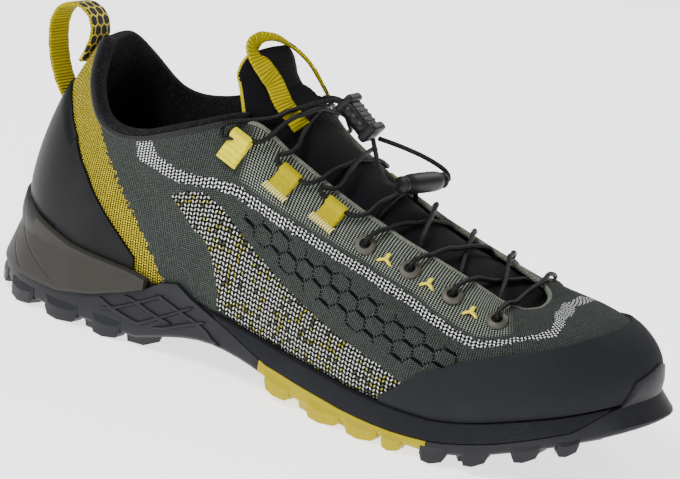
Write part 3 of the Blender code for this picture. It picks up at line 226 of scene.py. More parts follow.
@dataclass(frozen=True)
class Last:
    """The shape of the shoe, from its driving sizes and the tables of ribs and profile."""

    length: float = 0.300
    width: float = 0.104
    collar_rise: float = 0.083
    toe_spring: float = 0.030
    arch_rise: float = 0.008
    outsole: float = 0.0105
    midsole: float = 0.0195
    lug_depth: float = 0.004
    heel_overhang: float = 0.0095
    ledge: float = 0.003
    wall: float = 0.0022
    clearance: float = 0.0003
    round: int = 32

    @cached_property
    def columns(self) -> dict[str, np.ndarray]:
        """The ribs' table, by column."""
        return {name: np.array([getattr(rib, name) for rib in RIBS]) for name in Rib._fields}

    @cached_property
    def rows(self) -> dict[str, np.ndarray]:
        """The profile's table, by column."""
        return {name: np.array([getattr(row, name) for row in PROFILES]) for name in Profile._fields}

    def rib(self, name: str, k: np.ndarray) -> np.ndarray:
        """A column of the ribs at places round the shoe."""
        return catmull(self.columns[name], np.asarray(k, float), closed=True)

    def profile(self, name: str, share: np.ndarray) -> np.ndarray:
        """A column of the side profile at shares of the length."""
        xs, ys = self.rows["x"], self.rows[name]
        slopes = np.gradient(ys, xs)
        x = np.clip(np.asarray(share, float), xs[0], xs[-1])
        i = np.clip(np.searchsorted(xs, x, side="right") - 1, 0, len(xs) - 2)
        step = xs[i + 1] - xs[i]
        t = (x - xs[i]) / step
        rise = ys[i] + (ys[i + 1] - ys[i]) * t * t * (3 - 2 * t)
        bend = step * t * (1 - t) * (slopes[i] * (1 - t) - slopes[i + 1] * t)
        return np.where(ys[i] == ys[i + 1], ys[i], rise + bend)

    def ground(self, share: np.ndarray) -> np.ndarray:
        """Height of the lug tips over the floor."""
        arch = np.maximum(self.profile("arch", share), 0) * self.arch_rise
        return arch + np.maximum(self.profile("spring", share), 0) * self.toe_spring

    def seam(self, share: np.ndarray) -> np.ndarray:
        """Height of the seam between outsole and midsole."""
        return self.ground(share) + self.profile("outsole", share) * self.outsole

    def platform(self, share: np.ndarray) -> np.ndarray:
        """Height of the midsole's top."""
        return self.seam(share) + self.profile("midsole", share) * self.midsole

    def feather(self, k: np.ndarray) -> np.ndarray:
        """Plan position of the line where the upper meets the midsole."""
        return np.stack([(self.rib("foot_x", k) - 0.5) * self.length, self.rib("foot_y", k) * self.width], -1)

    def outward(self, k: np.ndarray) -> np.ndarray:
        """Horizontal unit vector that points out of the shoe."""
        along = unit(self.feather(np.asarray(k) + 0.05) - self.feather(np.asarray(k) - 0.05))
        return np.stack([along[..., 1], -along[..., 0], np.zeros_like(along[..., 0])], -1)

    def skin(self, k: np.ndarray, v: np.ndarray) -> np.ndarray:
        """Outer face of the upper."""
        k, v = np.broadcast_arrays(np.asarray(k, float), np.asarray(v, float))
        base = self.platform(self.rib("foot_x", k)) + self.clearance
        low = np.concatenate([self.feather(k), base[..., None]], -1)
        top = [(self.rib("top_x", k) - 0.5) * self.length, self.rib("top_y", k) * self.width]
        high = np.stack([*top, base + self.rib("rise", k) * self.collar_rise], -1)
        out, up = self.outward(k), np.array([0.0, 0.0, 1.0])
        handles = []
        for start, name in ((low, "low"), (high, "high")):
            reach = self.rib(name + "_out", k)[..., None] * out + self.rib(name + "_up", k)[..., None] * up
            handles.append(start + reach * self.collar_rise)
        t = v[..., None]
        s = 1 - t
        return s**3 * low + 3 * s * s * t * handles[0] + 3 * s * t * t * handles[1] + t**3 * high

    def frame(self, k: np.ndarray, v: np.ndarray) -> tuple[np.ndarray, np.ndarray, np.ndarray]:
        """Point, unit vector up the rib and unit normal of the upper's outer face."""
        k, v = np.asarray(k, float), np.asarray(v, float)
        round_shoe = self.skin(k + 0.04, v) - self.skin(k - 0.04, v)
        up_rib = self.skin(k, v + 0.02) - self.skin(k, v - 0.02)
        return self.skin(k, v), unit(up_rib), unit(np.cross(round_shoe, up_rib))

    def point(self, k: np.ndarray, v: np.ndarray, out: np.ndarray = 0.0) -> np.ndarray:
        """A point at a distance outside the upper's outer face."""
        spot, _, normal = self.frame(k, v)
        return spot + normal * np.asarray(out, float)[..., None]

    def side(self, k: np.ndarray, w: np.ndarray, out: np.ndarray = 0.0) -> np.ndarray:
        """A point on the side of the sole or above it.

        Args:
            k: Place round the shoe.
            w: Height: -1 at the outsole's lower edge, 0 at its seam, 1 at the midsole's top edge and
                1 more than v on the upper.
            out: Distance outside the face.

        Returns:
            The point, in metres.
        """
        k, w, out = np.broadcast_arrays(np.asarray(k, float), np.asarray(w, float), np.asarray(out, float))
        share = self.feather(k)[..., 0] / self.length + 0.5
        low = np.clip(w, 0, 1)
        edge = self.rib("edge", k) * self.heel_overhang
        ledge = self.rib("ledge", k) * self.ledge
        reach = edge * (1 - low) + ledge * low + out
        z = self.seam(share) * (1 - low) + self.platform(share) * low
        z = z + np.minimum(w, 0) * (self.seam(share) - self.ground(share) - self.lug_depth)
        plan = self.feather(k) + self.outward(k)[..., :2] * reach[..., None]
        beside = np.concatenate([plan, z[..., None]], -1)
        above = np.clip((w - 1) / 0.35, 0, 1)
        over = self.point(k, np.maximum(w - 1, 0), out + ledge * (1 - above * above * (3 - 2 * above)))
        return np.where((w <= 1)[..., None], beside, over)

    def matrix(self, place: Place, side: Side, out: float) -> Matrix:
        """A matrix that stands on the upper: X forward along the shoe, Y up the rib, Z outward."""
        k = place.k if side is Side.OUTER else self.round - place.k
        point, up_rib, normal = (Vector(item) for item in self.frame(k, place.v))
        forward = up_rib.cross(normal) * (1 if side is Side.OUTER else -1)
        matrix = Matrix((forward, up_rib, normal)).transposed().to_4x4()
        matrix.translation = point + normal * out
        return matrix


LAST = Last()


# Upper half of a woven band's section, as shares of its half width and its thickness.
BAND_SECTION = [
    (-1, 0), (-0.94, 0.42), (-0.8, 0.5), (-0.4, 0.5), (0, 0.5), (0.4, 0.5), (0.8, 0.5), (0.94, 0.42),
]


class Piece:
    """One visible piece, gathered in a bmesh from grids, tubes and bands, each with its own finish."""

    def __init__(self, name: str) -> None:
        self.name = name
        self.bm = bmesh.new()
        self.cloth = self.bm.loops.layers.uv.new("cloth")
        self.place = self.bm.loops.layers.uv.new("place")
        self.materials: list[bpy.types.Material] = []

    def slot(self, material: bpy.types.Material) -> int:
        """Number of a material's slot on this piece."""
        if material not in self.materials:
            self.materials.append(material)
        return self.materials.index(material)

    def grid(
        self,
        points: np.ndarray,
        material: bpy.types.Material,
        ring: bool = False,
        place: np.ndarray | None = None,
    ) -> list[bmesh.types.BMFace]:
        """Add a grid of quads laid over a table of points.

        Args:
            points: Table of shape (along, across, 3).
            material: Finish of its faces.
            ring: Whether its last column runs on to its first, with its two ends filled.
            place: Table of shape (along, across, 2) for the map "place".

        Returns:
            The new faces.
        """
        if ring:
            points = np.concatenate([points, points[:, :1]], axis=1)
        rows, columns = points.shape[:2]
        known = set(self.bm.faces)
        made = bmesh.ops.create_grid(self.bm, x_segments=rows - 1, y_segments=columns - 1, size=0.5)["verts"]
        spots = {}
        for vert in made:
            i, j = round((vert.co.x + 0.5) * (rows - 1)), round((vert.co.y + 0.5) * (columns - 1))
            spots[vert] = (i, j)
            vert.co = points[i, j]
        along = np.linalg.norm(np.diff(points, axis=0), axis=2).mean(1)
        across = np.linalg.norm(np.diff(points, axis=1), axis=2).max(0)
        s = np.concatenate([[0], np.cumsum(along)])
        t = np.concatenate([[0], np.cumsum(across)])
        faces = {face for vert in made for face in vert.link_faces} - known
        index = self.slot(material)
        for face in faces:
            face.material_index = index
            face.smooth = True
            for corner in face.loops:
                i, j = spots[corner.vert]
                corner[self.cloth].uv = (s[i], t[j])
                if place is not None:
                    corner[self.place].uv = place[i, j]
        if not ring:
            return list(faces)
        ends = [[vert for vert, spot in spots.items() if spot[0] == row] for row in (0, rows - 1)]
        seam = [vert for vert, (_, j) in spots.items() if j in (0, columns - 1)]
        bmesh.ops.remove_doubles(self.bm, verts=seam, dist=1e-7)
        for end in ends:
            live = {vert for vert in end if vert.is_valid}
            edges = {edge for vert in live for edge in vert.link_edges if edge.is_boundary}
            edges = [edge for edge in edges if set(edge.verts) <= live]
            if len(edges) > 2:
                filled = bmesh.ops.holes_fill(self.bm, edges=edges, sides=0)["faces"]
                for face in filled:
                    face.material_index = index
                faces |= set(filled)
        return [face for face in faces if face.is_valid]

    def tube(
        self,
        path: np.ndarray,
        radius: float | np.ndarray,
        material: bpy.types.Material,
        sides: int = 8,
        flat: float = 1.0,
        ups: np.ndarray | None = None,
    ) -> list[bmesh.types.BMFace]:
        """Add a round or flattened tube along a path.

        Args:
            path: Points along its middle.
            radius: Its radius, or one for each point.
            material: Its finish.
            sides: Faces round it.
            flat: Its height as a share of its width.
            ups: Direction of its height at each point.

        Returns:
            The new faces.
        """
        ahead = unit(np.gradient(path, axis=0))
        if ups is None:
            ups = np.tile([0.0, 0.0, 1.0], (len(path), 1))
        across = unit(np.cross(ahead, ups))
        lift = np.cross(across, ahead)
        turn = np.linspace(0, 2 * math.pi, sides, endpoint=False)
        wide = np.broadcast_to(np.asarray(radius, float), (len(path),))[:, None, None]
        aside, above = (wave(turn)[None, :, None] for wave in (np.cos, np.sin))
        ring = aside * across[:, None] + flat * above * lift[:, None]
        return self.grid(path[:, None] + ring * wide, material, ring=True)

    def band(
        self,
        path: np.ndarray,
        ups: np.ndarray,
        half: float,
        thick: float,
        material: bpy.types.Material,
        wavy: float = 0.0,
    ) -> list[bmesh.types.BMFace]:
        """Add a flat woven band along a path, with rounded edges.

        Args:
            path: Points along its middle.
            ups: Normal of its face at each point.
            half: Half its width.
            thick: Its thickness.
            material: Its finish.
            wavy: How much its edges wave with the weave, as a share of its half width.

        Returns:
            The new faces.
        """
        ahead = unit(np.gradient(path, axis=0))
        across = unit(np.cross(ahead, ups))
        lift = np.cross(across, ahead)
        wave = 1 + wavy * np.sin(np.arange(len(path)) * math.pi / 2)
        shape = np.array(BAND_SECTION + [(-a, -b) for a, b in BAND_SECTION])
        points = path[:, None] + across[:, None] * (shape[None, :, :1] * half * wave[:, None, None])
        return self.grid(points + lift[:, None] * (shape[None, :, 1:] * thick), material, ring=True)

    def spin(
        self, outline: Sequence[tuple], matrix: Matrix, material: bpy.types.Material, steps: int = 24
    ) -> None:
        """Add a turned shape about the matrix's Z axis, from (radius, height) pairs in millimetres."""
        places = [(radius * MM, 0, high * MM) for radius, high in outline]
        verts = [bmesh.ops.create_vert(self.bm, co=place)["vert"][0] for place in places]
        edges = []
        for pair in zip(verts, verts[1:]):
            edges += bmesh.ops.contextual_create(self.bm, geom=list(pair))["edges"]
        turned = bmesh.ops.spin(
            self.bm, geom=verts + edges, cent=(0, 0, 0), axis=(0, 0, 1), angle=2 * math.pi, steps=steps
        )
        island = set(verts) | {item for item in turned["geom_last"] if isinstance(item, bmesh.types.BMVert)}
        frontier = set(island)
        while frontier:
            frontier = {edge.other_vert(vert) for vert in frontier for edge in vert.link_edges} - island
            island |= frontier
        index = self.slot(material)
        for face in {face for vert in island for face in vert.link_faces}:
            face.material_index = index
            face.smooth = True
        bmesh.ops.transform(self.bm, matrix=matrix, verts=list(island))
        bmesh.ops.remove_doubles(self.bm, verts=list(island), dist=1e-6)

    def box(self, size: Sequence[float], matrix: Matrix, material: bpy.types.Material, bevel: float) -> None:
        """Add a block with rounded edges, centred on the matrix's origin."""
        known = set(self.bm.faces)
        made = bmesh.ops.create_cube(self.bm, size=1, matrix=matrix @ Matrix.Diagonal((*size, 1)))["verts"]
        edges = {edge for vert in made for edge in vert.link_edges}
        bmesh.ops.bevel(
            self.bm, geom=list(edges), offset=bevel, segments=3, profile=0.5, affect="EDGES", material=-1
        )
        index = self.slot(material)
        for face in set(self.bm.faces) - known:
            face.material_index = index
            face.smooth = True

    def solid(self, node: str, material: bpy.types.Material, bevel: float) -> None:
        """Add a copy of a CAD node, with its flat faces joined and its sharp edges rounded."""
        known = set(self.bm.verts), set(self.bm.faces)
        self.bm.from_mesh(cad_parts[node].data)
        verts = [vert for vert in self.bm.verts if vert not in known[0]]
        bmesh.ops.remove_doubles(self.bm, verts=verts, dist=2e-6)
        faces = [face for face in self.bm.faces if face not in known[1]]
        edges = list({edge for face in faces for edge in face.edges})
        limit = math.radians(SHARP_ANGLE)
        joined = [edge for edge in edges if len(edge.link_faces) == 2 and edge.calc_face_angle(0) < 0.01]
        bmesh.ops.dissolve_edges(self.bm, edges=joined, use_verts=False)
        edges = {edge for face in self.bm.faces if face not in known[1] for edge in face.edges}
        sharp = [edge for edge in edges if len(edge.link_faces) == 2 and edge.calc_face_angle(0) > limit]
        if bevel:
            bmesh.ops.bevel(
                self.bm, geom=sharp, offset=bevel, segments=2, profile=0.5, affect="EDGES", material=-1,
                clamp_overlap=True,
            )
        index = self.slot(material)
        for face in set(self.bm.faces) - known[1]:
            face.material_index = index
            face.smooth = True

    def done(self, nodes: Sequence[str] = (), facing: bool = True, sharp: float = 0.0) -> bpy.types.Object:
        """Turn the piece into an object that rides on the shoe.

        Args:
            nodes: CAD nodes that it stands for.
            facing: Whether its closed shells are turned outward here.
            sharp: Angle in degrees above which its edges stay sharp, or 0 for none.

        Returns:
            The object.
        """
        if facing:
            bmesh.ops.recalc_face_normals(self.bm, faces=self.bm.faces)
        mesh = bpy.data.meshes.new(self.name)
        self.bm.to_mesh(mesh)
        self.bm.free()
        for material in self.materials:
            mesh.materials.append(material)
        if sharp:
            mesh.set_sharp_from_angle(angle=math.radians(sharp))
        obj = bpy.data.objects.new(self.name, mesh)
        bpy.context.scene.collection.objects.link(obj)
        if nodes:
            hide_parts(*nodes)
        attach(obj, "root")
        LOG.info("%s: %d faces", self.name, len(mesh.polygons))
        return obj


def colour(red: float, green: float, blue: float) -> tuple[float, float, float, float]:
    """A colour as Blender holds it, from its values on a screen, 0 to 255."""
    linear = [((c / 255 + 0.055) / 1.055) ** 2.4 if c > 10 else c / 255 / 12.92 for c in (red, green, blue)]
    return (*linear, 1.0)


class Term:
    """A number or colour in a node tree, which sums, products and comparisons can be written with."""

    def __init__(self, graph: "Graph", socket: bpy.types.NodeSocket) -> None:
        self.graph = graph
        self.socket = socket

    def __add__(self, other: "Value") -> "Term":
        """The sum."""
        return self.graph.math("ADD", self, other)

    def __sub__(self, other: "Value") -> "Term":
        """The difference."""
        return self.graph.math("SUBTRACT", self, other)

    def __rsub__(self, other: float) -> "Term":
        """The difference, from a plain number."""
        return self.graph.math("SUBTRACT", other, self)

    def __mul__(self, other: "Value") -> "Term":
        """The product."""
        return self.graph.math("MULTIPLY", self, other)

    def __truediv__(self, other: "Value") -> "Term":
        """The quotient."""
        return self.graph.math("DIVIDE", self, other)

    def __gt__(self, other: "Value") -> "Term":
        """1 where it is greater and 0 elsewhere."""
        return self.graph.math("GREATER_THAN", self, other)

    def __lt__(self, other: "Value") -> "Term":
        """1 where it is less and 0 elsewhere."""
        return self.graph.math("LESS_THAN", self, other)

    def __abs__(self) -> "Term":
        """Its size without its sign."""
        return self.graph.math("ABSOLUTE", self)

    def floor(self) -> "Term":
        """The whole number below it."""
        return self.graph.math("FLOOR", self)

    def fract(self) -> "Term":
        """What it has above that whole number."""
        return self.graph.math("FRACT", self)


Value = Union[Term, float]


class Graph:
    """Short ways to add nodes to a node tree and to join them."""

    def __init__(self, tree: bpy.types.NodeTree) -> None:
        self.tree = tree

    def plug(self, value: object, socket: bpy.types.NodeSocket) -> None:
        """Join a term to an input, or set a plain value on it."""
        if isinstance(value, Term):
            self.tree.links.new(value.socket, socket)
        else:
            socket.default_value = value

    def add(self, kind: str, out: int | str = 0, **inputs: object) -> Term:
        """Add a shader node.

        Args:
            kind: The node's type, without its prefix.
            out: The output to return.
            **inputs: Settings of the node, and values or terms for its inputs, with an underscore for
                each space, or with a leading "n" before an input's number.

        Returns:
            One of the node's outputs.
        """
        node = self.tree.nodes.new("ShaderNode" + kind)
        settings = [name for name in inputs if hasattr(node, name)]
        for name in settings:
            setattr(node, name, inputs.pop(name))
        for name, value in inputs.items():
            key = int(name[1:]) if name[1:].isdigit() else name.replace("_", " ")
            self.plug(value, node.inputs[key])
        return Term(self, node.outputs[out])

    def math(self, operation: str, a: Value, b: Value = 0.0) -> Term:
        """A math node."""
        return self.add("Math", operation=operation, n0=a, n1=b)

    def most(self, first: Value, *others: Value) -> Value:
        """The greatest of several values."""
        return self.math("MAXIMUM", first, self.most(*others)) if others else first

    def step(self, value: Value, low: float, high: float) -> Term:
        """0 below low, 1 above high and smooth between, or the reverse where low is above high."""
        return self.add(
            "MapRange", interpolation_type="SMOOTHSTEP", Value=value, From_Min=low, From_Max=high,
            To_Min=0.0, To_Max=1.0,
        )

    def mix(self, factor: Value, a: object, b: object) -> Term:
        """Colour a where the factor is 0 and colour b where it is 1."""
        return self.add("Mix", 2, data_type="RGBA", n0=factor, n6=a, n7=b)

    def blend(self, factor: Value, a: Value, b: Value) -> Term:
        """Number a where the factor is 0 and number b where it is 1."""
        return self.add("Mix", data_type="FLOAT", n0=factor, n2=a, n3=b)

    def curve(self, value: Term, points: Sequence[tuple]) -> Term:
        """A table of (input, output) pairs, both from 0 to 1, with straight lines between its rows."""
        node = self.tree.nodes.new("ShaderNodeFloatCurve")
        line = node.mapping.curves[0]
        while len(line.points) < len(points):
            line.points.new(0.5, 0.5)
        for point, (x, y) in zip(line.points, sorted(points)):
            point.location = (x, y)
            point.handle_type = "VECTOR"
        node.mapping.update()
        self.plug(value, node.inputs["Value"])
        return Term(self, node.outputs[0])

    def split(self, vector: Term) -> list[Term]:
        """The X, Y and Z of a vector."""
        node = self.tree.nodes.new("ShaderNodeSeparateXYZ")
        self.plug(vector, node.inputs[0])
        return [Term(self, socket) for socket in node.outputs]

    def join(self, x: Value, y: Value, z: Value = 0.0) -> Term:
        """A vector from its values."""
        return self.add("CombineXYZ", X=x, Y=y, Z=z)

    def noise(self, vector: Term, scale: float, detail: float = 2.0) -> Term:
        """Soft noise from 0 to 1."""
        return self.add("TexNoise", Vector=vector, Scale=scale, Detail=detail)


class Effect:
    """A node group that several finishes share. It gives masks and heights only."""

    made: dict[str, bpy.types.NodeTree] = {}

    @classmethod
    def use(cls, graph: Graph, make: Callable, **inputs: Value) -> list[Term]:
        """Add an effect to a graph.

        Args:
            graph: Where it is added.
            make: Effect.stitch, Effect.hexagon, Effect.ribbed or Effect.wear.
            **inputs: Values or terms for its inputs, always the same ones in the same order.

        Returns:
            Its outputs.
        """
        name = make.__name__
        if name not in cls.made:
            cls.made[name] = cls.group(name, make, list(inputs))
        node = graph.tree.nodes.new("ShaderNodeGroup")
        node.node_tree = cls.made[name]
        for key, value in inputs.items():
            graph.plug(value, node.inputs[key])
        return [Term(graph, socket) for socket in node.outputs]

    @staticmethod
    def group(name: str, make: Callable, inputs: Sequence[str]) -> bpy.types.NodeTree:
        """The node group of an effect, with plain number sockets."""
        tree = bpy.data.node_groups.new(name, "ShaderNodeTree")
        for label in inputs:
            tree.interface.new_socket(label, in_out="INPUT", socket_type="NodeSocketFloat")
        graph, entry = Graph(tree), tree.nodes.new("NodeGroupInput")
        results = make(graph, *(Term(graph, entry.outputs[label]) for label in inputs))
        for label in results:
            tree.interface.new_socket(label, in_out="OUTPUT", socket_type="NodeSocketFloat")
        leave = tree.nodes.new("NodeGroupOutput")
        for label, term in results.items():
            graph.plug(term, leave.inputs[label])
        return tree

    @staticmethod
    def stitch(g: Graph, x: Term, y: Term, slant: Term) -> dict[str, Term]:
        """Knit stitches: columns of V shapes, from a place in stitches and how steep the V is."""
        across = x.fract()
        leg = abs(across - 0.5)
        slid = y + leg * slant
        along = abs(slid.fract() - 0.5)
        body = (1.0 - abs(leg - 0.25) * 4.0) * (1.0 - along * 2.0)
        cell = g.join(x.floor(), slid.floor(), (across > 0.5) * 7.0)
        return {
            "Yarn": g.step(body, 0.08, 0.30),
            "Height": g.math("SQRT", g.most(body, 0.0)),
            "Random": g.add("TexWhiteNoise", Vector=cell),
        }

    @staticmethod
    def hexagon(g: Graph, x: Term, y: Term) -> dict[str, Term]:
        """A honeycomb of cells one unit across: the distance to the nearest edge, which of the three edge
        directions it has, and the place along it."""
        tall = math.sqrt(3)
        cells = []
        for shift in (0.5, 1.0):
            px = (x + shift).fract() - 0.5
            py = ((y / tall + shift).fract() - 0.5) * tall
            cells.append((px, py, px * px + py * py))
        (px, py, reach), (qx, qy, other) = cells
        near = reach < other
        px, py = (a * near + b * (1.0 - near) for a, b in ((px, qx), (py, qy)))
        flat, rise, fall = abs(px), abs(px * 0.5 + py * (tall / 2)), abs(px * 0.5 - py * (tall / 2))
        upright = flat > g.most(rise, fall)
        slanting = px * (tall / 2) + py * 0.5
        return {
            "Edge": 0.5 - g.most(flat, rise, fall),
            "Bold": rise > g.most(flat, fall),
            "Along": py * upright + slanting * (1.0 - upright),
        }

    @staticmethod
    def ribbed(g: Graph, x: Term, y: Term) -> dict[str, Term]:
        """Rounded ridges, one for each unit of X, broken along Y like woven yarn."""
        shifted = y + x.floor() * 0.5
        ridge, yarn = (abs(g.math("SINE", value * math.pi)) for value in (x, shifted))
        cell = g.join(x.floor(), shifted.floor())
        return {"Height": ridge * (yarn * 0.35 + 0.65), "Random": g.add("TexWhiteNoise", Vector=cell)}

    @staticmethod
    def wear(g: Graph, x: Term, y: Term, z: Term) -> dict[str, Term]:
        """Dust in patches, fine grain and a few thin scratches, from a place in metres."""
        spot = g.join(x, y, z)
        stretched = g.join(x * 120.0, y * 120.0, z * 420.0)
        line = abs(g.noise(stretched, 1.0, 3.0) - 0.5)
        return {
            "Dust": g.step(g.noise(spot, 45.0, 4.0), 0.45, 0.75),
            "Grain": g.noise(spot, 1500.0),
            "Scratch": g.step(line, 0.012, 0.0) * g.step(g.noise(spot, 60.0), 0.55, 0.65),
        }


@dataclass(frozen=True)
class Finish:
    """A surface's look: its colour on a screen, roughness and sheen, and what its class adds."""

    name: str
    tone: tuple[float, float, float]
    roughness: float = 0.7
    metallic: float = 0.0
    sheen: float = 0.0
    specular: float = 0.5
    bump: float = 0.0002

    def surface(self, g: Graph) -> tuple[Term, Value, Term]:
        """Colour, roughness and height in metres of the surface, from its own nodes."""
        x, y, z = self.spot(g)
        dust, grain, scratch = Effect.use(g, Effect.wear, X=x, Y=y, Z=z)
        dusty = g.mix(dust * 0.05, colour(*self.tone), colour(*[c * 0.6 + 60 for c in self.tone]))
        rough = (grain - 0.5) * 0.15 + self.roughness
        return g.mix(scratch * 0.05, dusty, colour(120, 120, 118)), rough, grain

    def spot(self, g: Graph) -> list[Term]:
        """The place on the object, in metres."""
        return g.split(g.add("TexCoord", "Object"))

    def cloth(self, g: Graph, layer: str = "cloth") -> list[Term]:
        """The place on one of the piece's own maps."""
        return g.split(g.add("UVMap", uv_map=layer))[:2]

    @property
    def material(self) -> bpy.types.Material:
        """The finish as a Blender material, made once."""
        known = bpy.data.materials.get(self.name)
        if known:
            return known
        material = bpy.data.materials.new(self.name)
        material.use_nodes = True
        g = Graph(material.node_tree)
        tone, rough, height = self.surface(g)
        values = {
            "Base Color": tone,
            "Roughness": rough,
            "Metallic": self.metallic,
            "Sheen Weight": self.sheen,
            "Sheen Roughness": 0.4,
            "Specular IOR Level": self.specular,
            "Normal": g.add("Bump", Strength=1.0, Distance=self.bump, Height=height),
        }
        shader = material.node_tree.nodes["Principled BSDF"]
        for key, value in values.items():
            g.plug(value, shader.inputs[key])
        return material


@dataclass(frozen=True)
class Knit(Finish):
    """The upper's knit: fine stitches, an open eyestay, a chunky panel, a honeycomb and bright lines."""

    dark: tuple[float, float, float] = (15, 18, 16)
    open_yarn: tuple[float, float, float] = (150, 158, 146)
    line_yarn: tuple[float, float, float] = (240, 244, 242)
    panel_yarn: tuple[float, float, float] = (228, 230, 222)
    panel_fleck: tuple[float, float, float] = (186, 178, 60)

    def inside(self, g: Graph, value: Term, low: Term, high: Term, soft: float = 0.006) -> Term:
        """1 where the value lies between two curves."""
        above, below = (g.step(gap / soft, 0.0, 1.0) for gap in (value - low, high - value))
        return g.math("MINIMUM", above, below)

    def surface(self, g: Graph) -> tuple[Term, Value, Term]:
        """Colour, roughness and height of every area of the knit."""
        s, t = self.cloth(g)
        half, v = self.cloth(g, "place")
        stitches = {
            name: Effect.use(g, Effect.stitch, X=s / (wide * MM), Y=t / (high * MM), Slant=slant)
            for name, (wide, high, slant) in STITCHES.items()
        }
        edges = (("panel", 0.012), ("line", 0.012), ("strip", 0.008))
        ragged, thin, torn = ((stitches[name][2] - 0.5) * reach for name, reach in edges)
        panel = self.inside(g, v + ragged, g.curve(half, PANEL_LOW), g.curve(half, PANEL_HIGH))
        panel = panel * g.step(half, 4.9 / 16, 4.95 / 16)
        line_v, wide = g.curve(half, LINE), g.curve(half, LINE_HALF)
        line = self.inside(g, v + thin, line_v - wide, line_v + wide, 0.004)
        strip = g.step(g.curve(v, STRIP) + torn - half, 0.0, 0.002)
        mesh = g.step(v - line_v, 0.04, 0.07) * g.step(half, 6.0 / 16, 6.25 / 16)
        mesh = mesh * g.step(half, 12.6 / 16, 12.2 / 16)

        yarn, high, random = stitches["fine"]
        tone = g.mix(yarn * (random * 0.38 + 0.62), colour(*self.dark), colour(*self.tone))
        dots = g.mix(g.step(stitches["mesh"][1], 0.45, 0.66), colour(5, 6, 5), colour(*self.open_yarn))
        band = self.honeycomb(g, s, t, half, v)
        tone = g.mix(band, g.mix(mesh, tone, dots), colour(0, 0, 0))
        height = high * 0.45 - band * 0.5

        high = stitches["line"][1]
        tone = g.mix(line, tone, g.mix(g.step(high, 0.50, 0.66), colour(8, 10, 8), colour(*self.line_yarn)))
        height = height + high * line * 0.5
        _, high, random = stitches["panel"]
        bright = g.mix(random > 0.84, colour(*self.panel_yarn), colour(*self.panel_fleck))
        bright = g.mix(random < 0.07, bright, colour(90, 92, 76))
        tone = g.mix(panel, tone, g.mix(g.step(high, 0.53, 0.70), colour(1, 1, 1), bright))
        height = g.blend(panel, height, high * 2.2)
        _, high, random = stitches["strip"]
        gold = g.mix(random, colour(204, 184, 10), colour(236, 216, 50))
        tone = g.mix(strip, tone, g.mix(g.step(high, 0.36, 0.64), colour(30, 26, 4), gold))
        height = g.blend(strip, height, high * 1.4)
        shade = g.noise(g.join(*self.spot(g)), 35.0, 3.0)
        tone = g.mix(g.step(shade, 0.4, 0.8) * 0.12, tone, colour(30, 32, 30))
        return tone, self.roughness, height

    def honeycomb(self, g: Graph, s: Term, t: Term, half: Term, v: Term) -> Term:
        """Mask of the honeycomb's dark dashes."""
        turn = math.radians(HONEYCOMB_TURN)
        ahead, over = math.cos(turn) / HONEYCOMB_PITCH, math.sin(turn) / HONEYCOMB_PITCH
        edge, bold, along = Effect.use(g, Effect.hexagon, X=s * ahead + t * over, Y=t * ahead - s * over)
        beads = g.step(g.math("SINE", along * (2 * math.pi * HONEYCOMB_BEADS)), -0.5, 0.1)
        dashes = g.most(g.step(edge, 0.105, 0.085) * bold, g.step(edge, 0.065, 0.048) * beads)
        return dashes * self.inside(g, v, g.curve(half, HONEYCOMB_LOW), g.curve(half, HONEYCOMB_HIGH), 0.01)


@dataclass(frozen=True)
class Woven(Finish):
    """A woven or braided textile in one tone, with painted shade in the valleys between its yarns."""

    pitch: tuple[float, float] = (0.7 * MM, 1.2 * MM)
    contrast: float = 0.45
    fleck: tuple[float, float, float] | None = None

    def surface(self, g: Graph) -> tuple[Term, Value, Term]:
        """Colour, roughness and height of the yarns."""
        s, t = self.cloth(g)
        height, random = Effect.use(g, Effect.ribbed, X=s / self.pitch[0], Y=t / self.pitch[1])
        # Painted shade: darker where the yarns dip, following the height; the random share is the yarns' own
        # tone.
        ground = colour(*[c * (1 - self.contrast) for c in self.tone])
        tone = g.mix(height * 0.8 + random * 0.2, ground, colour(*self.tone))
        if self.fleck:
            tone = g.mix(g.step(random, 0.78, 0.86), tone, colour(*self.fleck))
        return tone, self.roughness, height


@dataclass(frozen=True)
class HexTape(Finish):
    """Black tape with thin yellow hexagons."""

    line: tuple[float, float, float] = (214, 190, 60)
    size: float = 4.6 * MM
    yarn: float = 0.8 * MM

    def surface(self, g: Graph) -> tuple[Term, Value, Term]:
        """Colour, roughness and height of the tape."""
        s, t = self.cloth(g)
        edge = Effect.use(g, Effect.hexagon, X=t / self.size, Y=s / self.size)[0]
        weave = Effect.use(g, Effect.ribbed, X=s / self.yarn, Y=t / self.yarn)[0]
        tone = g.mix(g.step(edge, 0.11, 0.07), colour(*self.tone), colour(*self.line))
        return tone, self.roughness, weave


@dataclass(frozen=True)
class Moulded(Finish):
    """Moulded rubber or foam: fine grain, dust and optional creases or grooves along the side, with painted
    shade in the grooves.
    """

    creases: float = 0.0
    grooves: bool = False

    def surface(self, g: Graph) -> tuple[Term, Value, Term]:
        """Colour, roughness and height of the moulding."""
        tone, rough, grain = super().surface(g)
        height = grain * 0.25
        x, y, z = self.spot(g)
        if self.creases:
            stretched = g.join(x * 160.0, y * 160.0, z * 700.0)
            cut = g.step(abs(g.noise(stretched, 1.0) - 0.5), 0.02, 0.0)
            cut = cut * g.step(g.noise(g.join(x, y, z), 90.0), 0.5, 0.62)
            height = height - cut * self.creases
        if self.grooves:
            k, w = self.cloth(g, "place")
            cut = 0.0
            for start, slope, low in CUP_GROOVES:
                away = abs(k - (start - g.math("POWER", w, 0.7) * slope))
                cut = g.most(g.step(away, 0.07, 0.01) * g.step(w, low, low + 0.08), cut)
            height = height - cut * 3.0
            # Painted shade: the grooves are darkened in colour as well as cut into the height.
            tone = g.mix(cut * 0.7, tone, colour(*[c * 0.55 for c in self.tone]))
        return tone, rough, height


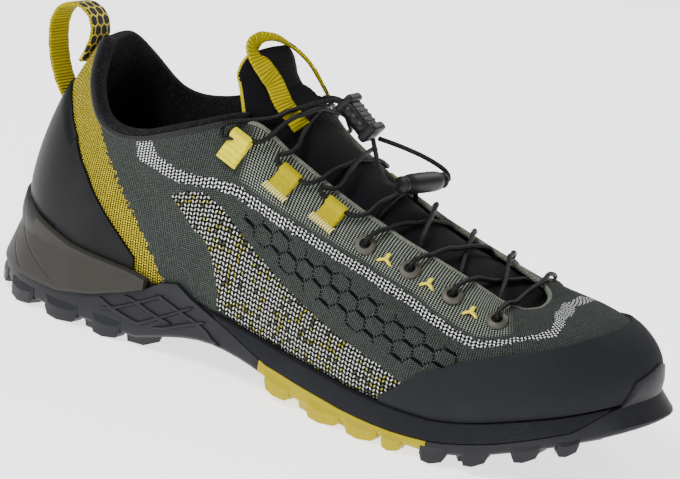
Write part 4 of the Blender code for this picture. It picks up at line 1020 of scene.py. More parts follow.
def table16(rows: Sequence[tuple]) -> list[tuple[float, float]]:
    """Rows of (k, v) with k as a share of the way from heel to toe."""
    return [(k / 16, min(max(v, 0.0), 1.0)) for k, v in rows]


# Areas of the knit on one side, as (k, v) rows.
PANEL_HIGH = table16([
    (4.95, 0.615), (5.30, 0.640), (5.60, 0.62), (5.93, 0.56), (6.28, 0.50), (7.08, 0.42), (7.80, 0.35),
    (8.30, 0.32), (8.80, 0.28), (9.28, 0.26), (9.75, 0.24), (10.38, 0.18), (10.60, 0.0),
])
PANEL_LOW = table16([
    (4.95, 0.60), (5.45, 0.43), (5.73, 0.38), (5.95, 0.29), (6.18, 0.15), (6.22, 0.02), (6.90, 0.0),
    (16.0, 0.0),
])
HONEYCOMB_HIGH = table16([
    (6.20, 0.50), (6.28, 0.57), (6.83, 0.62), (7.50, 0.60), (8.38, 0.60), (9.45, 0.56), (10.53, 0.51),
    (11.43, 0.45), (11.5, 0.0),
])
HONEYCOMB_LOW = table16([
    (6.20, 0.58), (6.45, 0.53), (7.20, 0.44), (8.25, 0.38), (9.15, 0.34), (10.23, 0.29), (11.5, 0.36),
])
HONEYCOMB_TURN = 13.0
HONEYCOMB_PITCH = 8.6 * MM
HONEYCOMB_BEADS = 5.4
LINE = table16([
    (4.10, 1.0), (4.15, 0.97), (4.48, 0.83), (4.95, 0.73), (5.40, 0.69), (5.83, 0.66), (6.50, 0.64),
    (7.30, 0.64), (8.18, 0.66), (9.00, 0.66), (9.88, 0.64), (10.53, 0.59), (10.93, 0.57), (11.50, 0.54),
    (11.90, 0.56),
    (12.70, 0.61), (13.30, 0.63), (13.73, 0.64), (14.10, 0.71), (14.55, 0.80), (15.90, 0.88), (16.0, 0.88),
])
LINE_HALF = table16([
    (3.9, 0.0), (4.05, 0.16), (4.5, 0.05), (5.4, 0.028), (7.0, 0.028), (11.0, 0.030), (13.0, 0.022),
    (14.2, 0.05), (16.0, 0.04),
])
# Front edge of the yellow strip, as (v, share of the way from heel to toe) rows.
STRIP = [
    (0.0, 4.98 / 16), (0.07, 4.93 / 16), (0.23, 4.62 / 16), (0.43, 4.23 / 16), (0.67, 3.73 / 16),
    (0.86, 3.30 / 16), (1.0, 2.95 / 16),
]
# Stitches of the knit: width and height in millimetres, and how steep their V is.
STITCHES = {
    "fine": (1.8, 0.95, 0.8),
    "mesh": (2.5, 1.25, 0.5),
    "panel": (3.2, 2.0, 1.3),
    "line": (3.2, 1.9, 1.3),
    "strip": (2.4, 1.5, 1.3),
}
# Grooves of the heel cup: place round the shoe at the rim, how far it leans and its lower end.
CUP_GROOVES = [(3.6, 1.9, 0.25), (2.6, 1.6, 0.20)]


class Look:
    """Every finish of the shoe and its stage."""

    KNIT = Knit("knit", (77, 83, 79), roughness=0.9, specular=0.1, sheen=0.04, bump=0.0005)
    LINING = Woven(
        "lining_mesh", (16, 14, 19), specular=0.15, roughness=0.95, sheen=0.05, pitch=(0.9 * MM, 1.3 * MM),
        contrast=0.75, fleck=(26, 25, 29), bump=0.0004,
    )
    TONGUE = Woven(
        "tongue_fabric", (15, 13, 18), specular=0.15, roughness=0.95, sheen=0.05,
        pitch=(0.8 * MM, 0.8 * MM), contrast=0.5,
    )
    INSOLE = Woven("insole_fabric", (44, 44, 48), roughness=0.95, pitch=(1.0 * MM, 1.0 * MM))
    RAND = Moulded("rand_rubber", (26, 27, 31), roughness=0.8, bump=0.00005, specular=0.2)
    OUTSOLE = Moulded("outsole_rubber", (17, 18, 23), specular=0.3, roughness=0.55, bump=0.00006)
    BALL = Moulded("ball_rubber", (158, 142, 0), specular=0.15, roughness=0.5, bump=0.00006)
    FOAM = Moulded("midsole_foam", (20, 21, 26), specular=0.2, roughness=0.85, bump=0.0003, creases=0.4)
    CUP = Moulded("cup_plastic", (44, 42, 38), specular=0.25, roughness=0.6, bump=0.00012, grooves=True)
    COUNTER = Moulded("counter_film", (9, 10, 12), specular=0.15, roughness=0.5, bump=0.00003)
    TAPE = Woven(
        "yellow_tape", (186, 170, 0), specular=0.1, roughness=0.8, pitch=(1.35 * MM, 20 * MM),
        contrast=0.35, bump=0.0005,
    )
    BRIGHT = Woven(
        "bright_tape", (222, 208, 0), specular=0.1, roughness=0.6, pitch=(2.4 * MM, 40 * MM), contrast=0.12
    )
    WEBBING = Woven(
        "yellow_webbing", (196, 180, 0), specular=0.1, roughness=0.85, pitch=(0.7 * MM, 0.9 * MM),
        contrast=0.35,
    )
    HEXES = HexTape("hex_tape", (30, 29, 32), roughness=0.85, bump=0.0002)
    THREAD = Finish("cream_thread", (222, 212, 130), roughness=0.8, specular=0.2)
    ACCENT = Finish("yellow_thread", (240, 220, 50), roughness=0.8, specular=0.2)
    BINDING = Woven(
        "throat_binding", (122, 126, 112), roughness=0.9, pitch=(1.0 * MM, 2.0 * MM), contrast=0.6
    )
    EDGE = Woven(
        "collar_binding", (22, 22, 26), roughness=0.95, sheen=0.2, pitch=(1.0 * MM, 1.6 * MM), contrast=0.6
    )
    LACE = Woven(
        "lace_braid", (9, 8, 11), specular=0.25, roughness=0.5, pitch=(0.9 * MM, 1.15 * MM), contrast=0.6,
        bump=0.00025,
    )
    RING = Finish("eyelet_metal", (74, 72, 64), roughness=0.5, metallic=0.35, bump=0.00004)
    # Near-black disc in each eyelet's hole: painted shade.
    HOLE = Finish("eyelet_hole_painted_shade", (8, 8, 8), roughness=0.9)
    PLASTIC = Moulded("lock_plastic", (9, 9, 11), specular=0.3, roughness=0.5, bump=0.00004)
    FLOOR = Finish("floor", (244, 244, 244), roughness=0.9, bump=0.0)


OVERLAY_GAP = 0.0006
TONGUE_RIBS = [14.0, 13.2, 12.3, 11.4, 10.5, 9.6, 8.7, 7.8, 7.0, 6.2]
TONGUE_TOP = [
    (-0.0322, 0.0000, 0.1160, 0.0226, 0.9),
    (-0.0346, 0.0000, 0.1205, 0.0222, 1.0),
    (-0.0362, 0.0004, 0.1243, 0.0200, 0.95),
    (-0.0376, 0.0006, 0.1269, 0.0162, 0.85),
    (-0.0386, 0.0008, 0.1285, 0.0112, 0.7),
    (-0.0390, 0.0008, 0.1292, 0.0050, 0.5),
]
GUIDES = [
    (Place(5.81, 0.79), Place(5.97, 0.91)),
    (Place(6.98, 0.76), Place(7.12, 0.89)),
    (Place(7.97, 0.77), Place(8.06, 0.90)),
]
EYELETS = [Place(8.80, 0.80), Place(9.68, 0.81), Place(10.60, 0.79), Place(11.95, 0.74)]
LACE_RADIUS = 1.0 * MM


@dataclass(frozen=True)
class Crease:
    """A soft trough or ridge pressed into the upper, from one place to another."""

    start: Place
    end: Place
    wide: float
    out: float

    def press(self, k: np.ndarray, v: np.ndarray) -> np.ndarray:
        """How far it moves the upper outward, in metres, at places on one side."""
        scale = np.array([1.0, 7.0])
        a, b = np.array(self.start) * scale, np.array(self.end) * scale
        spot = np.stack([k, v], -1) * scale
        t = np.clip(((spot - a) @ (b - a)) / ((b - a) @ (b - a)), 0, 1)
        away = np.linalg.norm(spot - (a + t[..., None] * (b - a)), axis=-1) / self.wide
        return self.out * np.exp(-(away**2)) * np.sin(np.pi * (0.15 + 0.7 * t)) ** 0.5


class Upper:
    """The hollow knitted upper with its bindings, rand, counter and heel cup."""

    columns = 289
    rows = 41
    creases = [
        Crease(Place(5.2, 0.95), Place(7.4, 0.45), 0.30, -0.9 * MM),
        Crease(Place(6.0, 0.90), Place(8.4, 0.50), 0.28, 0.6 * MM),
        Crease(Place(9.6, 0.62), Place(11.6, 0.50), 0.30, -0.5 * MM),
        Crease(Place(10.2, 0.80), Place(12.4, 0.60), 0.25, -0.6 * MM),
        Crease(Place(3.9, 0.80), Place(5.2, 0.25), 0.35, -0.7 * MM),
        Crease(Place(13.2, 0.80), Place(15.6, 0.72), 0.35, -0.4 * MM),
    ]

    def press(self, k: np.ndarray, v: np.ndarray) -> np.ndarray:
        """How far creases and the raised panel move the upper outward."""
        half = np.minimum(k % LAST.round, LAST.round - k % LAST.round)
        moved = sum(crease.press(half, v) for crease in self.creases)
        high, low = (np.interp(half / 16, *np.array(rows).T) for rows in (PANEL_HIGH, PANEL_LOW))
        raised = np.clip((v - low) / 0.03, 0, 1) * np.clip((high - v) / 0.03, 0, 1)
        covered = np.clip((band_at(TOE_RAND, half) + 0.04 - v) / 0.05, 0, 1) * (half > 9.9)
        counter = np.clip((band_at(HEEL_COUNTER, half) + 0.04 - v) / 0.05, 0, 1) * (half < 4.4)
        return (moved + 0.5 * MM * raised * (half > 4.95)) * (1 - np.maximum(covered, counter))

    def shell(self) -> None:
        """The knit and its lining, 2.2 mm thick."""
        ways = np.linspace(0, LAST.round, self.columns), np.linspace(0, 1, self.rows)
        k, v = np.meshgrid(*ways, indexing="ij")
        points = LAST.point(k, v, self.press(k, v))
        half = np.minimum(k, LAST.round - k) / 16
        piece = Piece("upper_knit")
        piece.grid(points, Look.KNIT.material, place=np.stack([half, v], -1))
        seam = [vert for vert in piece.bm.verts if vert.is_boundary]
        bmesh.ops.remove_doubles(piece.bm, verts=seam, dist=1e-6)
        piece.slot(Look.LINING.material)
        bmesh.ops.recalc_face_normals(piece.bm, faces=piece.bm.faces)
        if sum(face.normal.y * face.calc_center_median().y for face in piece.bm.faces) < 0:
            bmesh.ops.reverse_faces(piece.bm, faces=piece.bm.faces)
        obj = piece.done(["upper"], facing=False)
        wall = obj.modifiers.new("wall", "SOLIDIFY")
        wall.thickness = LAST.wall
        wall.offset = -1
        wall.material_offset = 1
        wall.material_offset_rim = 1

    def panel(
        self, name: str, ks: np.ndarray, low: np.ndarray, high: np.ndarray, thick: float, finish: Finish,
        rows: int = 14, beside: bool = False,
    ) -> None:
        """A panel laid on the side, with a rounded edge.

        Args:
            name: The CAD node that it stands for.
            ks: Places round the shoe.
            low: Its lower edge at each of them.
            high: Its upper edge at each of them.
            thick: Its thickness over the face under it.
            finish: Its finish.
            rows: Steps up its face.
            beside: Whether its heights are those of the sole's side.
        """
        share = np.linspace(0, 1, rows)
        lift = np.ones(rows)
        lift[0], lift[-1], lift[1], lift[-2] = 0.25, 0.25, 0.85, 0.85
        share[1], share[-2] = 0.012, 1 - 0.012
        face = low[:, None] + (high - low)[:, None] * share
        k = np.broadcast_to(ks[:, None], face.shape)
        seat = LAST.side if beside else LAST.point
        outer = seat(k, face, OVERLAY_GAP + thick * lift if not beside else thick * lift)
        inner = seat(k, face, np.full(rows, -0.0004) if not beside else np.full(rows, -1.5 * MM))
        points = np.concatenate([outer, inner[:, ::-1]], axis=1)
        place = np.stack([np.concatenate([k, k[:, ::-1]], 1), np.concatenate([face, face[:, ::-1]], 1)], -1)
        place = np.concatenate([place, place[:, :1]], axis=1)
        place[..., 0] = np.minimum(np.abs(place[..., 0]), LAST.round - np.abs(place[..., 0]))
        piece = Piece(name + "_cover")
        piece.grid(points, finish.material, ring=True, place=place)
        piece.done([name], sharp=50)

    def overlays(self) -> None:
        """Toe rand, heel counter and heel cup."""
        ks = np.linspace(TOE_RAND[0][0], TOE_RAND[-1][0], 181)
        low = np.maximum(band_at(OUTSOLE_RIM, ks) - 1 - 0.02, 0.004)
        self.panel("toe_rand", ks, low, band_at(TOE_RAND, ks), 1.2 * MM, Look.RAND)
        ks = np.linspace(-4.33, 4.33, 121)
        low = band_at(HEEL_CUP, np.abs(ks)) - 0.02
        self.panel("heel_counter", ks, low, band_at(HEEL_COUNTER, np.abs(ks)), 0.8 * MM, Look.COUNTER)
        ks = np.linspace(-4.67, 4.67, 141)
        high = 1 + band_at(HEEL_CUP, np.abs(ks))
        low = np.minimum(band_at(OUTSOLE_RIM, np.abs(ks)) - 0.01, high - 0.08)
        self.panel("heel_cup", ks, low, high, 1.9 * MM, Look.CUP, rows=26, beside=True)

    def bindings(self) -> None:
        """Light binding round the throat and dark binding round the collar."""
        piece = Piece("bindings")
        for start, end, radius, finish in ((5.85, 26.15, 1.15, Look.BINDING), (-5.95, 5.95, 1.3, Look.EDGE)):
            ks = np.linspace(start, end, 160)
            path = LAST.point(ks, np.full(len(ks), 1.0), np.full(len(ks), -0.9 * MM))
            _, up_rib, normal = LAST.frame(ks, np.full(len(ks), 1.0))
            piece.tube(path + up_rib * 0.3 * MM, radius * MM, finish.material, sides=10, ups=normal, flat=1.1)
        piece.done()

    def lining(self) -> None:
        """Padded lining of the collar, full at the heel and thin towards its ends."""
        section = np.array([
            (0.40, 0.0, -0.4), (0.56, 0.0, -0.2), (0.78, 0.0, 0.0), (1.00, 1.0, 0.0), (1.00, 1.3, 2.0),
            (1.00, 3.4, 1.9), (1.00, 4.7, -0.6), (1.00, 3.4, -3.6), (0.90, 0.0, -6.0), (0.66, 0.0, -3.6),
            (0.50, 0.0, -1.4),
        ])
        ks = np.linspace(-5.9, 5.9, 150)
        full = np.clip(0.25 + (5.9 - np.abs(ks)) / 2.0, 0.25, 1.0)
        rings = []
        for k, share in zip(ks, full):
            spot, up_rib, normal = LAST.frame(np.full(len(section), k), section[:, 0])
            out = np.where(section[:, 2] > 0, section[:, 2], section[:, 2] * share) * MM
            inside = normal * (out - LAST.wall - 0.4 * MM)[:, None]
            rings.append(spot + up_rib * (section[:, 1:2] * MM) + inside)
        at = np.linspace(0, len(section), 40, endpoint=False)
        smooth = np.stack([catmull(ring, at, True) for ring in rings])
        piece = Piece("collar_padding")
        piece.grid(smooth, Look.LINING.material, ring=True)
        obj = piece.done(["collar_lining"])

    def build(self) -> None:
        """Every piece of the upper."""
        self.shell()
        self.overlays()
        self.bindings()
        self.lining()


class Sole:
    """Outsole, midsole and insole, the lugs at their edge and the ribs on the outsole's wings."""

    # Net of raised ribs on the wing, as lines of places (k, w) on the outsole's side.
    NET = [
        [(4.31, 0.52), (4.69, 0.43), (5.11, 0.24), (5.39, 0.16)],
        [(3.81, 0.29), (4.11, 0.14), (4.59, 0.01), (4.80, 0.00)],
        [(4.91, 0.82), (5.18, 0.75), (5.58, 0.57), (5.94, 0.41), (6.26, 0.15), (6.55, -0.35)],
        [(3.91, 0.06), (4.24, 0.21), (4.64, 0.51), (5.08, 0.86)],
        [(4.60, -0.06), (5.11, 0.26), (5.55, 0.67), (5.75, 0.90)],
        [(5.03, -0.13), (5.50, 0.14), (5.94, 0.44), (6.11, 0.59)],
    ]
    # Spans of k that the lugs at the sole's edge cover.
    HEEL_LUGS = [(0.75, 1.45), (1.75, 2.45), (2.75, 3.45), (3.75, 4.35)]
    BALL_LUGS = [(7.72, 8.30), (8.70, 9.38), (9.50, 10.12), (10.22, 10.60)]
    TOE_LUGS = [(10.95, 11.45), (11.75, 12.25), (12.65, 13.15), (13.45, 13.85)]

    def edge_lugs(self, name: str, spans: Sequence[tuple], finish: Finish) -> None:
        """Faceted lugs that stand out at both edges of the sole.

        Args:
            name: Name of the piece.
            spans: Start and end of each lug round the shoe.
            finish: Its finish.
        """
        piece = Piece(name)
        for mirror in (False, True):
            for start, end in spans:
                k = start + (end - start) * np.array([0.0, 0.14, 0.45, 0.62, 0.9, 1.0])
                full = np.array([0.15, 0.85, 1.0, 0.9, 0.7, 0.1])[:, None]
                share = LAST.feather(k)[:, 0] / LAST.length + 0.5
                high = LAST.seam(share) - LAST.ground(share)
                low = -(1 + (high / (high - LAST.lug_depth) - 1)[:, None] * full * 0.97)
                rest = np.ones_like(full)
                w = np.concatenate([-0.30 * rest, -0.30 - 0.5 * full, low, low, -0.6 * rest], axis=1)
                out = np.array([0.0, 1.1, 0.7, -6.0, -6.0]) * MM * np.where(np.arange(5) < 3, full, 1.0)
                places = np.broadcast_to(k[:, None], w.shape)
                if mirror:
                    places = LAST.round - places
                piece.grid(LAST.side(places, w, out), finish.material, ring=True)
        piece.done(sharp=18)

    def net(self) -> None:
        """Thin raised ribs that cross on both wings."""
        piece = Piece("outsole_net")
        for mirror in (False, True):
            for line in self.NET:
                places = route([(k, w, 0) for k, w in line], 0.12)
                k = LAST.round - places[:, 0] if mirror else places[:, 0]
                path = LAST.side(k, places[:, 1], 0.35 * MM)
                normal = LAST.outward(k)
                ends = np.ones(len(path))
                ends[[0, -1]] = 0.3
                piece.tube(path, 0.80 * MM * ends, Look.OUTSOLE.material, sides=6, flat=0.8, ups=normal)
        piece.done()

    def build(self) -> None:
        """Every piece of the sole."""
        for node, finish, bevel in (
            ("outsole_heel", Look.OUTSOLE, 0.5), ("outsole_forefoot", Look.OUTSOLE, 0.5),
            ("outsole_arch", Look.BALL, 0.5), ("midsole", Look.FOAM, 0.4), ("insole", Look.INSOLE, 0.0),
        ):
            piece = Piece(node + "_body")
            piece.solid(node, finish.material, bevel * MM)
            piece.done([node], sharp=40)
        self.net()
        self.edge_lugs("heel_edge_lugs", self.HEEL_LUGS, Look.OUTSOLE)
        self.edge_lugs("ball_edge_lugs", self.BALL_LUGS, Look.BALL)
        self.edge_lugs("toe_edge_lugs", self.TOE_LUGS, Look.OUTSOLE)


class Tongue:
    """The padded tongue with its binding."""

    gap = 1.2 * MM
    underlap = 0.14

    def arch(self, k: float, count: int) -> np.ndarray:
        """Points across the throat, arched like the instep."""
        edges, ups = [], []
        for rib in (k, LAST.round - k):
            point, up_rib, normal = LAST.frame(rib, 1.0)
            edges.append(point - normal * (LAST.wall + self.gap))
            ups.append(up_rib)
        reach = np.linalg.norm(edges[1] - edges[0]) * 0.32
        t = np.linspace(0, 1, count)[:, None]
        s = 1 - t
        inner = 3 * s * s * t * (edges[0] + ups[0] * reach) + 3 * s * t * t * (edges[1] + ups[1] * reach)
        return s**3 * edges[0] + inner + t**3 * edges[1]

    @cached_property
    def rows(self) -> tuple[np.ndarray, np.ndarray, np.ndarray]:
        """Points, unit normals and thickness of the tongue's upper face."""
        under = -(LAST.wall + self.gap)
        nose = np.linspace(14.6, 17.4, 9)
        rows = [LAST.point(nose, np.full(9, 1 - self.underlap), np.full(9, under))]
        v = np.array([1 - self.underlap, 1 - self.underlap / 2])
        for k in TONGUE_RIBS:
            outer = LAST.point(np.full(2, k), v, np.full(2, under))
            inner = LAST.point(np.full(2, LAST.round - k), v, np.full(2, under))
            rows.append(np.concatenate([outer, self.arch(k, 5), inner[::-1]]))
        thick = [3.6 * MM] * len(rows)
        across = np.linspace(-1, 1, 9)
        for x, y, z, half, share in TONGUE_TOP:
            sag = half * across**2
            rows.append(np.stack([x - 0.40 * sag, y + half * across, z - 0.12 * sag], -1))
            thick.append(6.5 * MM * share)
        points = np.array(rows)
        normal = unit(np.cross(-np.gradient(points, axis=0), np.gradient(points, axis=1)))
        normal[-5:] = normal[-6]
        return points, normal, np.array(thick)

    def over(self, k: float, across: float, out: float) -> np.ndarray:
        """A point over the tongue: across runs from the outer edge (-1) to the inner (1)."""
        points, normal, _ = self.rows
        row = 1 + np.interp(k, TONGUE_RIBS[::-1], np.arange(len(TONGUE_RIBS))[::-1])
        i, j = int(row), int(min(4 + 2 * across, 5.99))
        a, b = row - i, 4 + 2 * across - j
        spot, lift = (
            (grid[i, j] * (1 - b) + grid[i, j + 1] * b) * (1 - a)
            + (grid[i + 1, j] * (1 - b) + grid[i + 1, j + 1] * b) * a
            for grid in (points, normal)
        )
        return spot + lift / np.linalg.norm(lift) * out

    def build(self) -> None:
        """Tongue and binding."""
        points, normal, thick = self.rows
        edge = np.array([0.45, 0.8, 1, 1, 1, 1, 1, 0.8, 0.45])
        under = points - normal * (thick[:, None] * edge)[..., None]
        rings = np.concatenate([points, under[:, ::-1]], axis=1)
        along = catmull(rings, np.linspace(0, len(rings) - 1, 64), closed=False)
        fine = np.stack([catmull(ring, np.linspace(0, 18, 54, endpoint=False), True) for ring in along])
        piece = Piece("tongue_body")
        piece.grid(fine, Look.TONGUE.material, ring=True)
        obj = piece.done(["tongue"])
        piece = Piece("tongue_binding")
        middle = (points + under) / 2
        piece.tube(route(middle[-8:-2, 0], 1.2 * MM), 1.1 * MM, Look.WEBBING.material, sides=8)
        piece.done()


class Loops:
    """The pull loops at the heel and on the tongue, yellow on one face and black hexagons on the other."""

    heel = [
        (-0.1318, 0, 0.0815), (-0.1374, 0, 0.0874), (-0.1425, 0, 0.0960), (-0.1455, 0, 0.1060),
        (-0.1460, 0, 0.1150), (-0.1425, 0, 0.1215), (-0.1350, 0, 0.1240), (-0.1285, 0, 0.1212),
        (-0.1259, 0, 0.1165), (-0.1256, 0, 0.1115), (-0.1274, 0, 0.1056), (-0.1293, 0, 0.1010),
    ]
    # Strand of the tongue's loop that arches from the strip's top to the inner side, and how far each
    # point of it has turned from facing forward to facing the middle of the arch.
    arch = [
        (-0.0436, -0.0143, 0.1264, 0.3), (-0.0450, -0.0107, 0.1299, 0.6), (-0.0429, -0.0059, 0.1317, 0.85),
        (-0.0396, 0.0002, 0.1308, 1.0), (-0.0347, 0.0049, 0.1279, 1.0), (-0.0299, 0.0102, 0.1224, 1.0),
        (-0.0263, 0.0147, 0.1157, 1.0), (-0.0230, 0.0190, 0.1090, 1.0),
    ]
    edge_on = np.array([0.41, -0.87, 0.27])

    def tape(
        self, name: str, node: str, path: np.ndarray, ups: np.ndarray, half: float, thick: float
    ) -> None:
        """Add a loop of tape.

        Args:
            name: Name of the piece.
            node: The CAD node that it stands for.
            path: Points along its middle.
            ups: Direction that its yellow face has at each of them.
            half: Half its width.
            thick: Its thickness.
        """
        piece = Piece(name)
        faces = piece.band(path, ups, half, thick, Look.TAPE.material, wavy=0.02)
        black = piece.slot(Look.HEXES.material)
        for face in faces:
            middle = np.array(face.calc_center_median())
            near = int(np.argmin(np.linalg.norm(path - middle, axis=1)))
            if (middle - path[near]) @ ups[near] < -0.2 * thick:
                face.material_index = black
        piece.done([node])

    def build(self, tongue: Tongue) -> None:
        """Both loops, and the strip that runs down the tongue from one of them."""
        path = route(self.heel, 1.3 * MM)
        ups = unit(np.cross([0.0, 1.0, 0.0], unit(np.gradient(path, axis=0))))
        self.tape("heel_tape", "heel_loop", path, ups, 7.0 * MM, 1.6 * MM)
        points, normal, _ = tongue.rows
        low = ((6.78, -0.46), (6.5, -0.44), (6.25, -0.42))
        strip = [tongue.over(k, across, 1.2 * MM) for k, across in low]
        strip.append(points[-6, 2] + normal[-6, 2] * 1.2 * MM)
        strip.append(points[-5, 2] * 0.6 + points[-5, 1] * 0.4 + normal[-5, 2] * 1.3 * MM)
        facing = [normal[-8, 3]] * 3 + [normal[-6, 2], normal[-5, 2]]
        path = np.array(strip + [row[:3] for row in self.arch])
        ahead = unit(np.gradient(path, axis=0))
        inward = unit(np.cross(ahead, self.edge_on))
        turned = np.array([0.0] * len(strip) + [row[3] for row in self.arch])[:, None]
        faced = np.array(facing + [facing[-1]] * len(self.arch))
        ups = unit(faced * (1 - turned) + inward * turned)
        both = route(path, 1.2 * MM)
        places = np.linalg.norm(both[:, None] - path[None], axis=2)
        order = np.argsort(places, axis=1)[:, :2]
        near = np.take_along_axis(places, order, axis=1)
        share = (near[:, ::-1] / near.sum(1, keepdims=True))[..., None]
        smooth = unit((ups[order] * share).sum(1))
        self.tape("tongue_tape", "tongue_loop", both, smooth, 4.75 * MM, 1.3 * MM)


class Lacing:
    """Eyelets, webbing guides, the lace through them, its lock and its free ends."""

    # Outlines of the turned pieces, as (radius, height) pairs in millimetres.
    RING = [
        (2.05, 0.5), (2.1, 1.3), (2.5, 1.75), (3.0, 1.7), (3.25, 1.35), (3.5, 1.3), (3.9, 1.25), (4.25, 0.8),
        (4.3, 0.0),
    ]
    # Dark disc across the ring's hole: painted shade inside the hole.
    RING_HOLE = [(0.02, 0.55), (2.1, 0.55)]
    BARREL = [
        (0.02, -5.8), (2.3, -5.8), (2.9, -5.2), (2.9, -2.6), (2.6, -2.3), (2.6, -1.7), (2.9, -1.4),
        (2.9, 1.4), (2.6, 1.7), (2.6, 2.3), (2.9, 2.6), (2.9, 5.2), (2.3, 5.8), (0.02, 5.8),
    ]
    GRIP = [
        (0.02, -13.6), (1.8, -13.6), (2.9, -14.0), (3.3, -13.2), (3.2, -12.2), (2.7, -11.6), (2.8, -10.8),
        (3.7, -10.0), (4.1, -7.0), (4.2, 0.0), (4.1, 7.0), (3.7, 10.2), (3.0, 11.0), (3.0, 11.6), (3.5, 12.0),
        (3.6, 13.2), (3.1, 14.0), (0.02, 14.0),
    ]

    ring_high = 1.4 * MM
    webbing = 1.1 * MM
    rest = LACE_RADIUS + 0.4 * MM
    reach = 0.31
    # Side view of a small stitch, in millimetres.
    STITCH = [(-0.3, 0.3), (0.6, 0.5), (1.8, 0.4), (2.6, 0.1), (2.9, -0.4)]
    tails = {
        "outer": [(0.0086, -0.0005, 0.1022), (0.0140, -0.0070, 0.0985), (0.0200, -0.0140, 0.0948),
                  (0.0253, -0.0172, 0.0915), (0.0282, -0.0156, 0.0906), (0.0286, -0.0131, 0.0905)],
        "inner": [(0.0086, 0.0045, 0.1022), (0.0160, 0.0110, 0.1000), (0.0240, 0.0190, 0.0965),
                  (0.0315, 0.0225, 0.0930), (0.0352, 0.0200, 0.0908), (0.0352, 0.0170, 0.0905)],
    }

    def __init__(self, tongue: Tongue) -> None:
        self.tongue = tongue
        self.through = OVERLAY_GAP + self.webbing + self.rest

    def eyelets(self) -> None:
        """Rings of turned metal, each with a dark disc across its hole as painted shade."""
        piece = Piece("eyelets")
        for side in Side:
            for place in EYELETS:
                matrix = LAST.matrix(place, side, 0.1 * MM)
                for outline, finish in ((self.RING, Look.RING), (self.RING_HOLE, Look.HOLE)):
                    piece.spin(outline, matrix, finish.material)
        piece.done([f"eyelet_{side}_{i}" for side in ("outer", "inner") for i in range(1, 5)], sharp=60)

    def guides(self) -> None:
        """Loops of webbing, the top pair of smooth tape, the others with a bartack at the foot."""
        bands, stitches = Piece("guide_loops"), Piece("bartacks")
        for side in Side:
            for number, (low, high) in enumerate(GUIDES):
                base, top = (LAST.matrix(place, side, OVERLAY_GAP) for place in (low, high))
                reach = (top.translation - base.translation).length
                ahead = (top.translation - base.translation) / reach
                normal = (base.col[2].xyz + top.col[2].xyz).normalized()
                across = ahead.cross(normal).normalized()
                normal = across.cross(ahead)
                bow = LACE_RADIUS + 0.4 * MM + self.webbing / 2
                lift = self.webbing / 2 - 0.4 * MM
                path = [(-1.0 * MM, lift), (reach * 0.35, lift + 0.3 * MM), (reach * 0.7, lift)]
                for step in range(7):
                    angle = math.radians(-90 + 42 * step)
                    path.append((reach + bow * math.cos(angle), lift + bow + bow * math.sin(angle)))
                path.append((reach * 0.66, lift + self.webbing + 0.5 * MM))
                path.append((-0.8 * MM, lift + self.webbing + 0.2 * MM))
                points = route([base.translation + ahead * a + normal * b for a, b in path], 0.8 * MM)
                ups = unit(np.cross(np.tile(across, (len(points), 1)), unit(np.gradient(points, axis=0))))
                finish = Look.WEBBING if number else Look.BRIGHT
                bands.band(points, ups, 4.6 * MM, self.webbing, finish.material, wavy=0.03 if number else 0.0)
                if number:
                    self.bartack(stitches, base, ahead, across, normal)
        bands.done([f"guide_{side}_{i}" for side in ("outer", "inner") for i in range(1, 4)])
        stitches.done()

    def bartack(self, piece: Piece, base: Matrix, ahead: Vector, across: Vector, normal: Vector) -> None:
        """A row of close cream stitches across the foot of a guide."""
        for i in range(10):
            middle = base.translation + across * ((i - 4.5) * 1.15 * MM) - ahead * 0.4 * MM
            lean = ahead * 1.35 * MM + across * 0.3 * MM
            path = [
                middle - lean + normal * 0.4 * MM,
                middle - lean * 0.6 + normal * 1.9 * MM,
                middle + normal * 2.3 * MM,
                middle + lean * 0.6 + normal * 2.2 * MM,
                middle + lean + normal * 1.2 * MM,
            ]
            piece.tube(np.array([tuple(p) for p in path]), 0.38 * MM, Look.THREAD.material, sides=6)

    def accents(self) -> None:
        """Three small yellow stitches in the shape of a Y on each side."""
        piece = Piece("accent_stitches")
        for side in Side:
            for place in (Place(9.23, 0.79), Place(10.10, 0.78), Place(11.12, 0.74)):
                matrix = LAST.matrix(place, side, 0.25 * MM)
                for degrees in (205, 87, -30):
                    end = Vector((math.cos(math.radians(degrees)), math.sin(math.radians(degrees)), 0))
                    path = [matrix @ (end * r * MM + Vector((0, 0, h * MM))) for r, h in self.STITCH]
                    points = np.array([tuple(p) for p in path])
                    piece.tube(points, 0.95 * MM, Look.ACCENT.material, sides=8, flat=0.6)
        piece.done()

    def start(self, place: Place, side: int) -> tuple[list[np.ndarray], float]:
        """First points of a crossing: out of an eyelet, or through a guide to its toe end."""
        def skin(k: float, v: float, out: float) -> np.ndarray:
            return LAST.point(k if side < 0 else LAST.round - k, v, out)

        if place in EYELETS:
            over = self.ring_high + OVERLAY_GAP + self.rest
            points = [skin(place.k - 0.02, place.v - 0.01, -0.002), skin(place.k, place.v, 0.6 * MM)]
            points += [skin(place.k + 0.02, place.v + 0.03, over + 0.2 * MM)]
            points.append(skin(place.k + 0.10, (place.v + 1) / 2 + 0.02, self.rest + 1.5 * MM))
            return points + [skin(place.k + 0.17, 0.985, self.rest + 0.2 * MM)], place.k + 0.17
        points = [skin(place.k - self.reach, place.v, self.through), skin(place.k, place.v, self.through)]
        points.append(skin(place.k + self.reach, place.v + 0.01, self.through))
        k = place.k + self.reach + 0.16
        return points + [skin(k, 0.985, self.rest + 0.6 * MM)], k

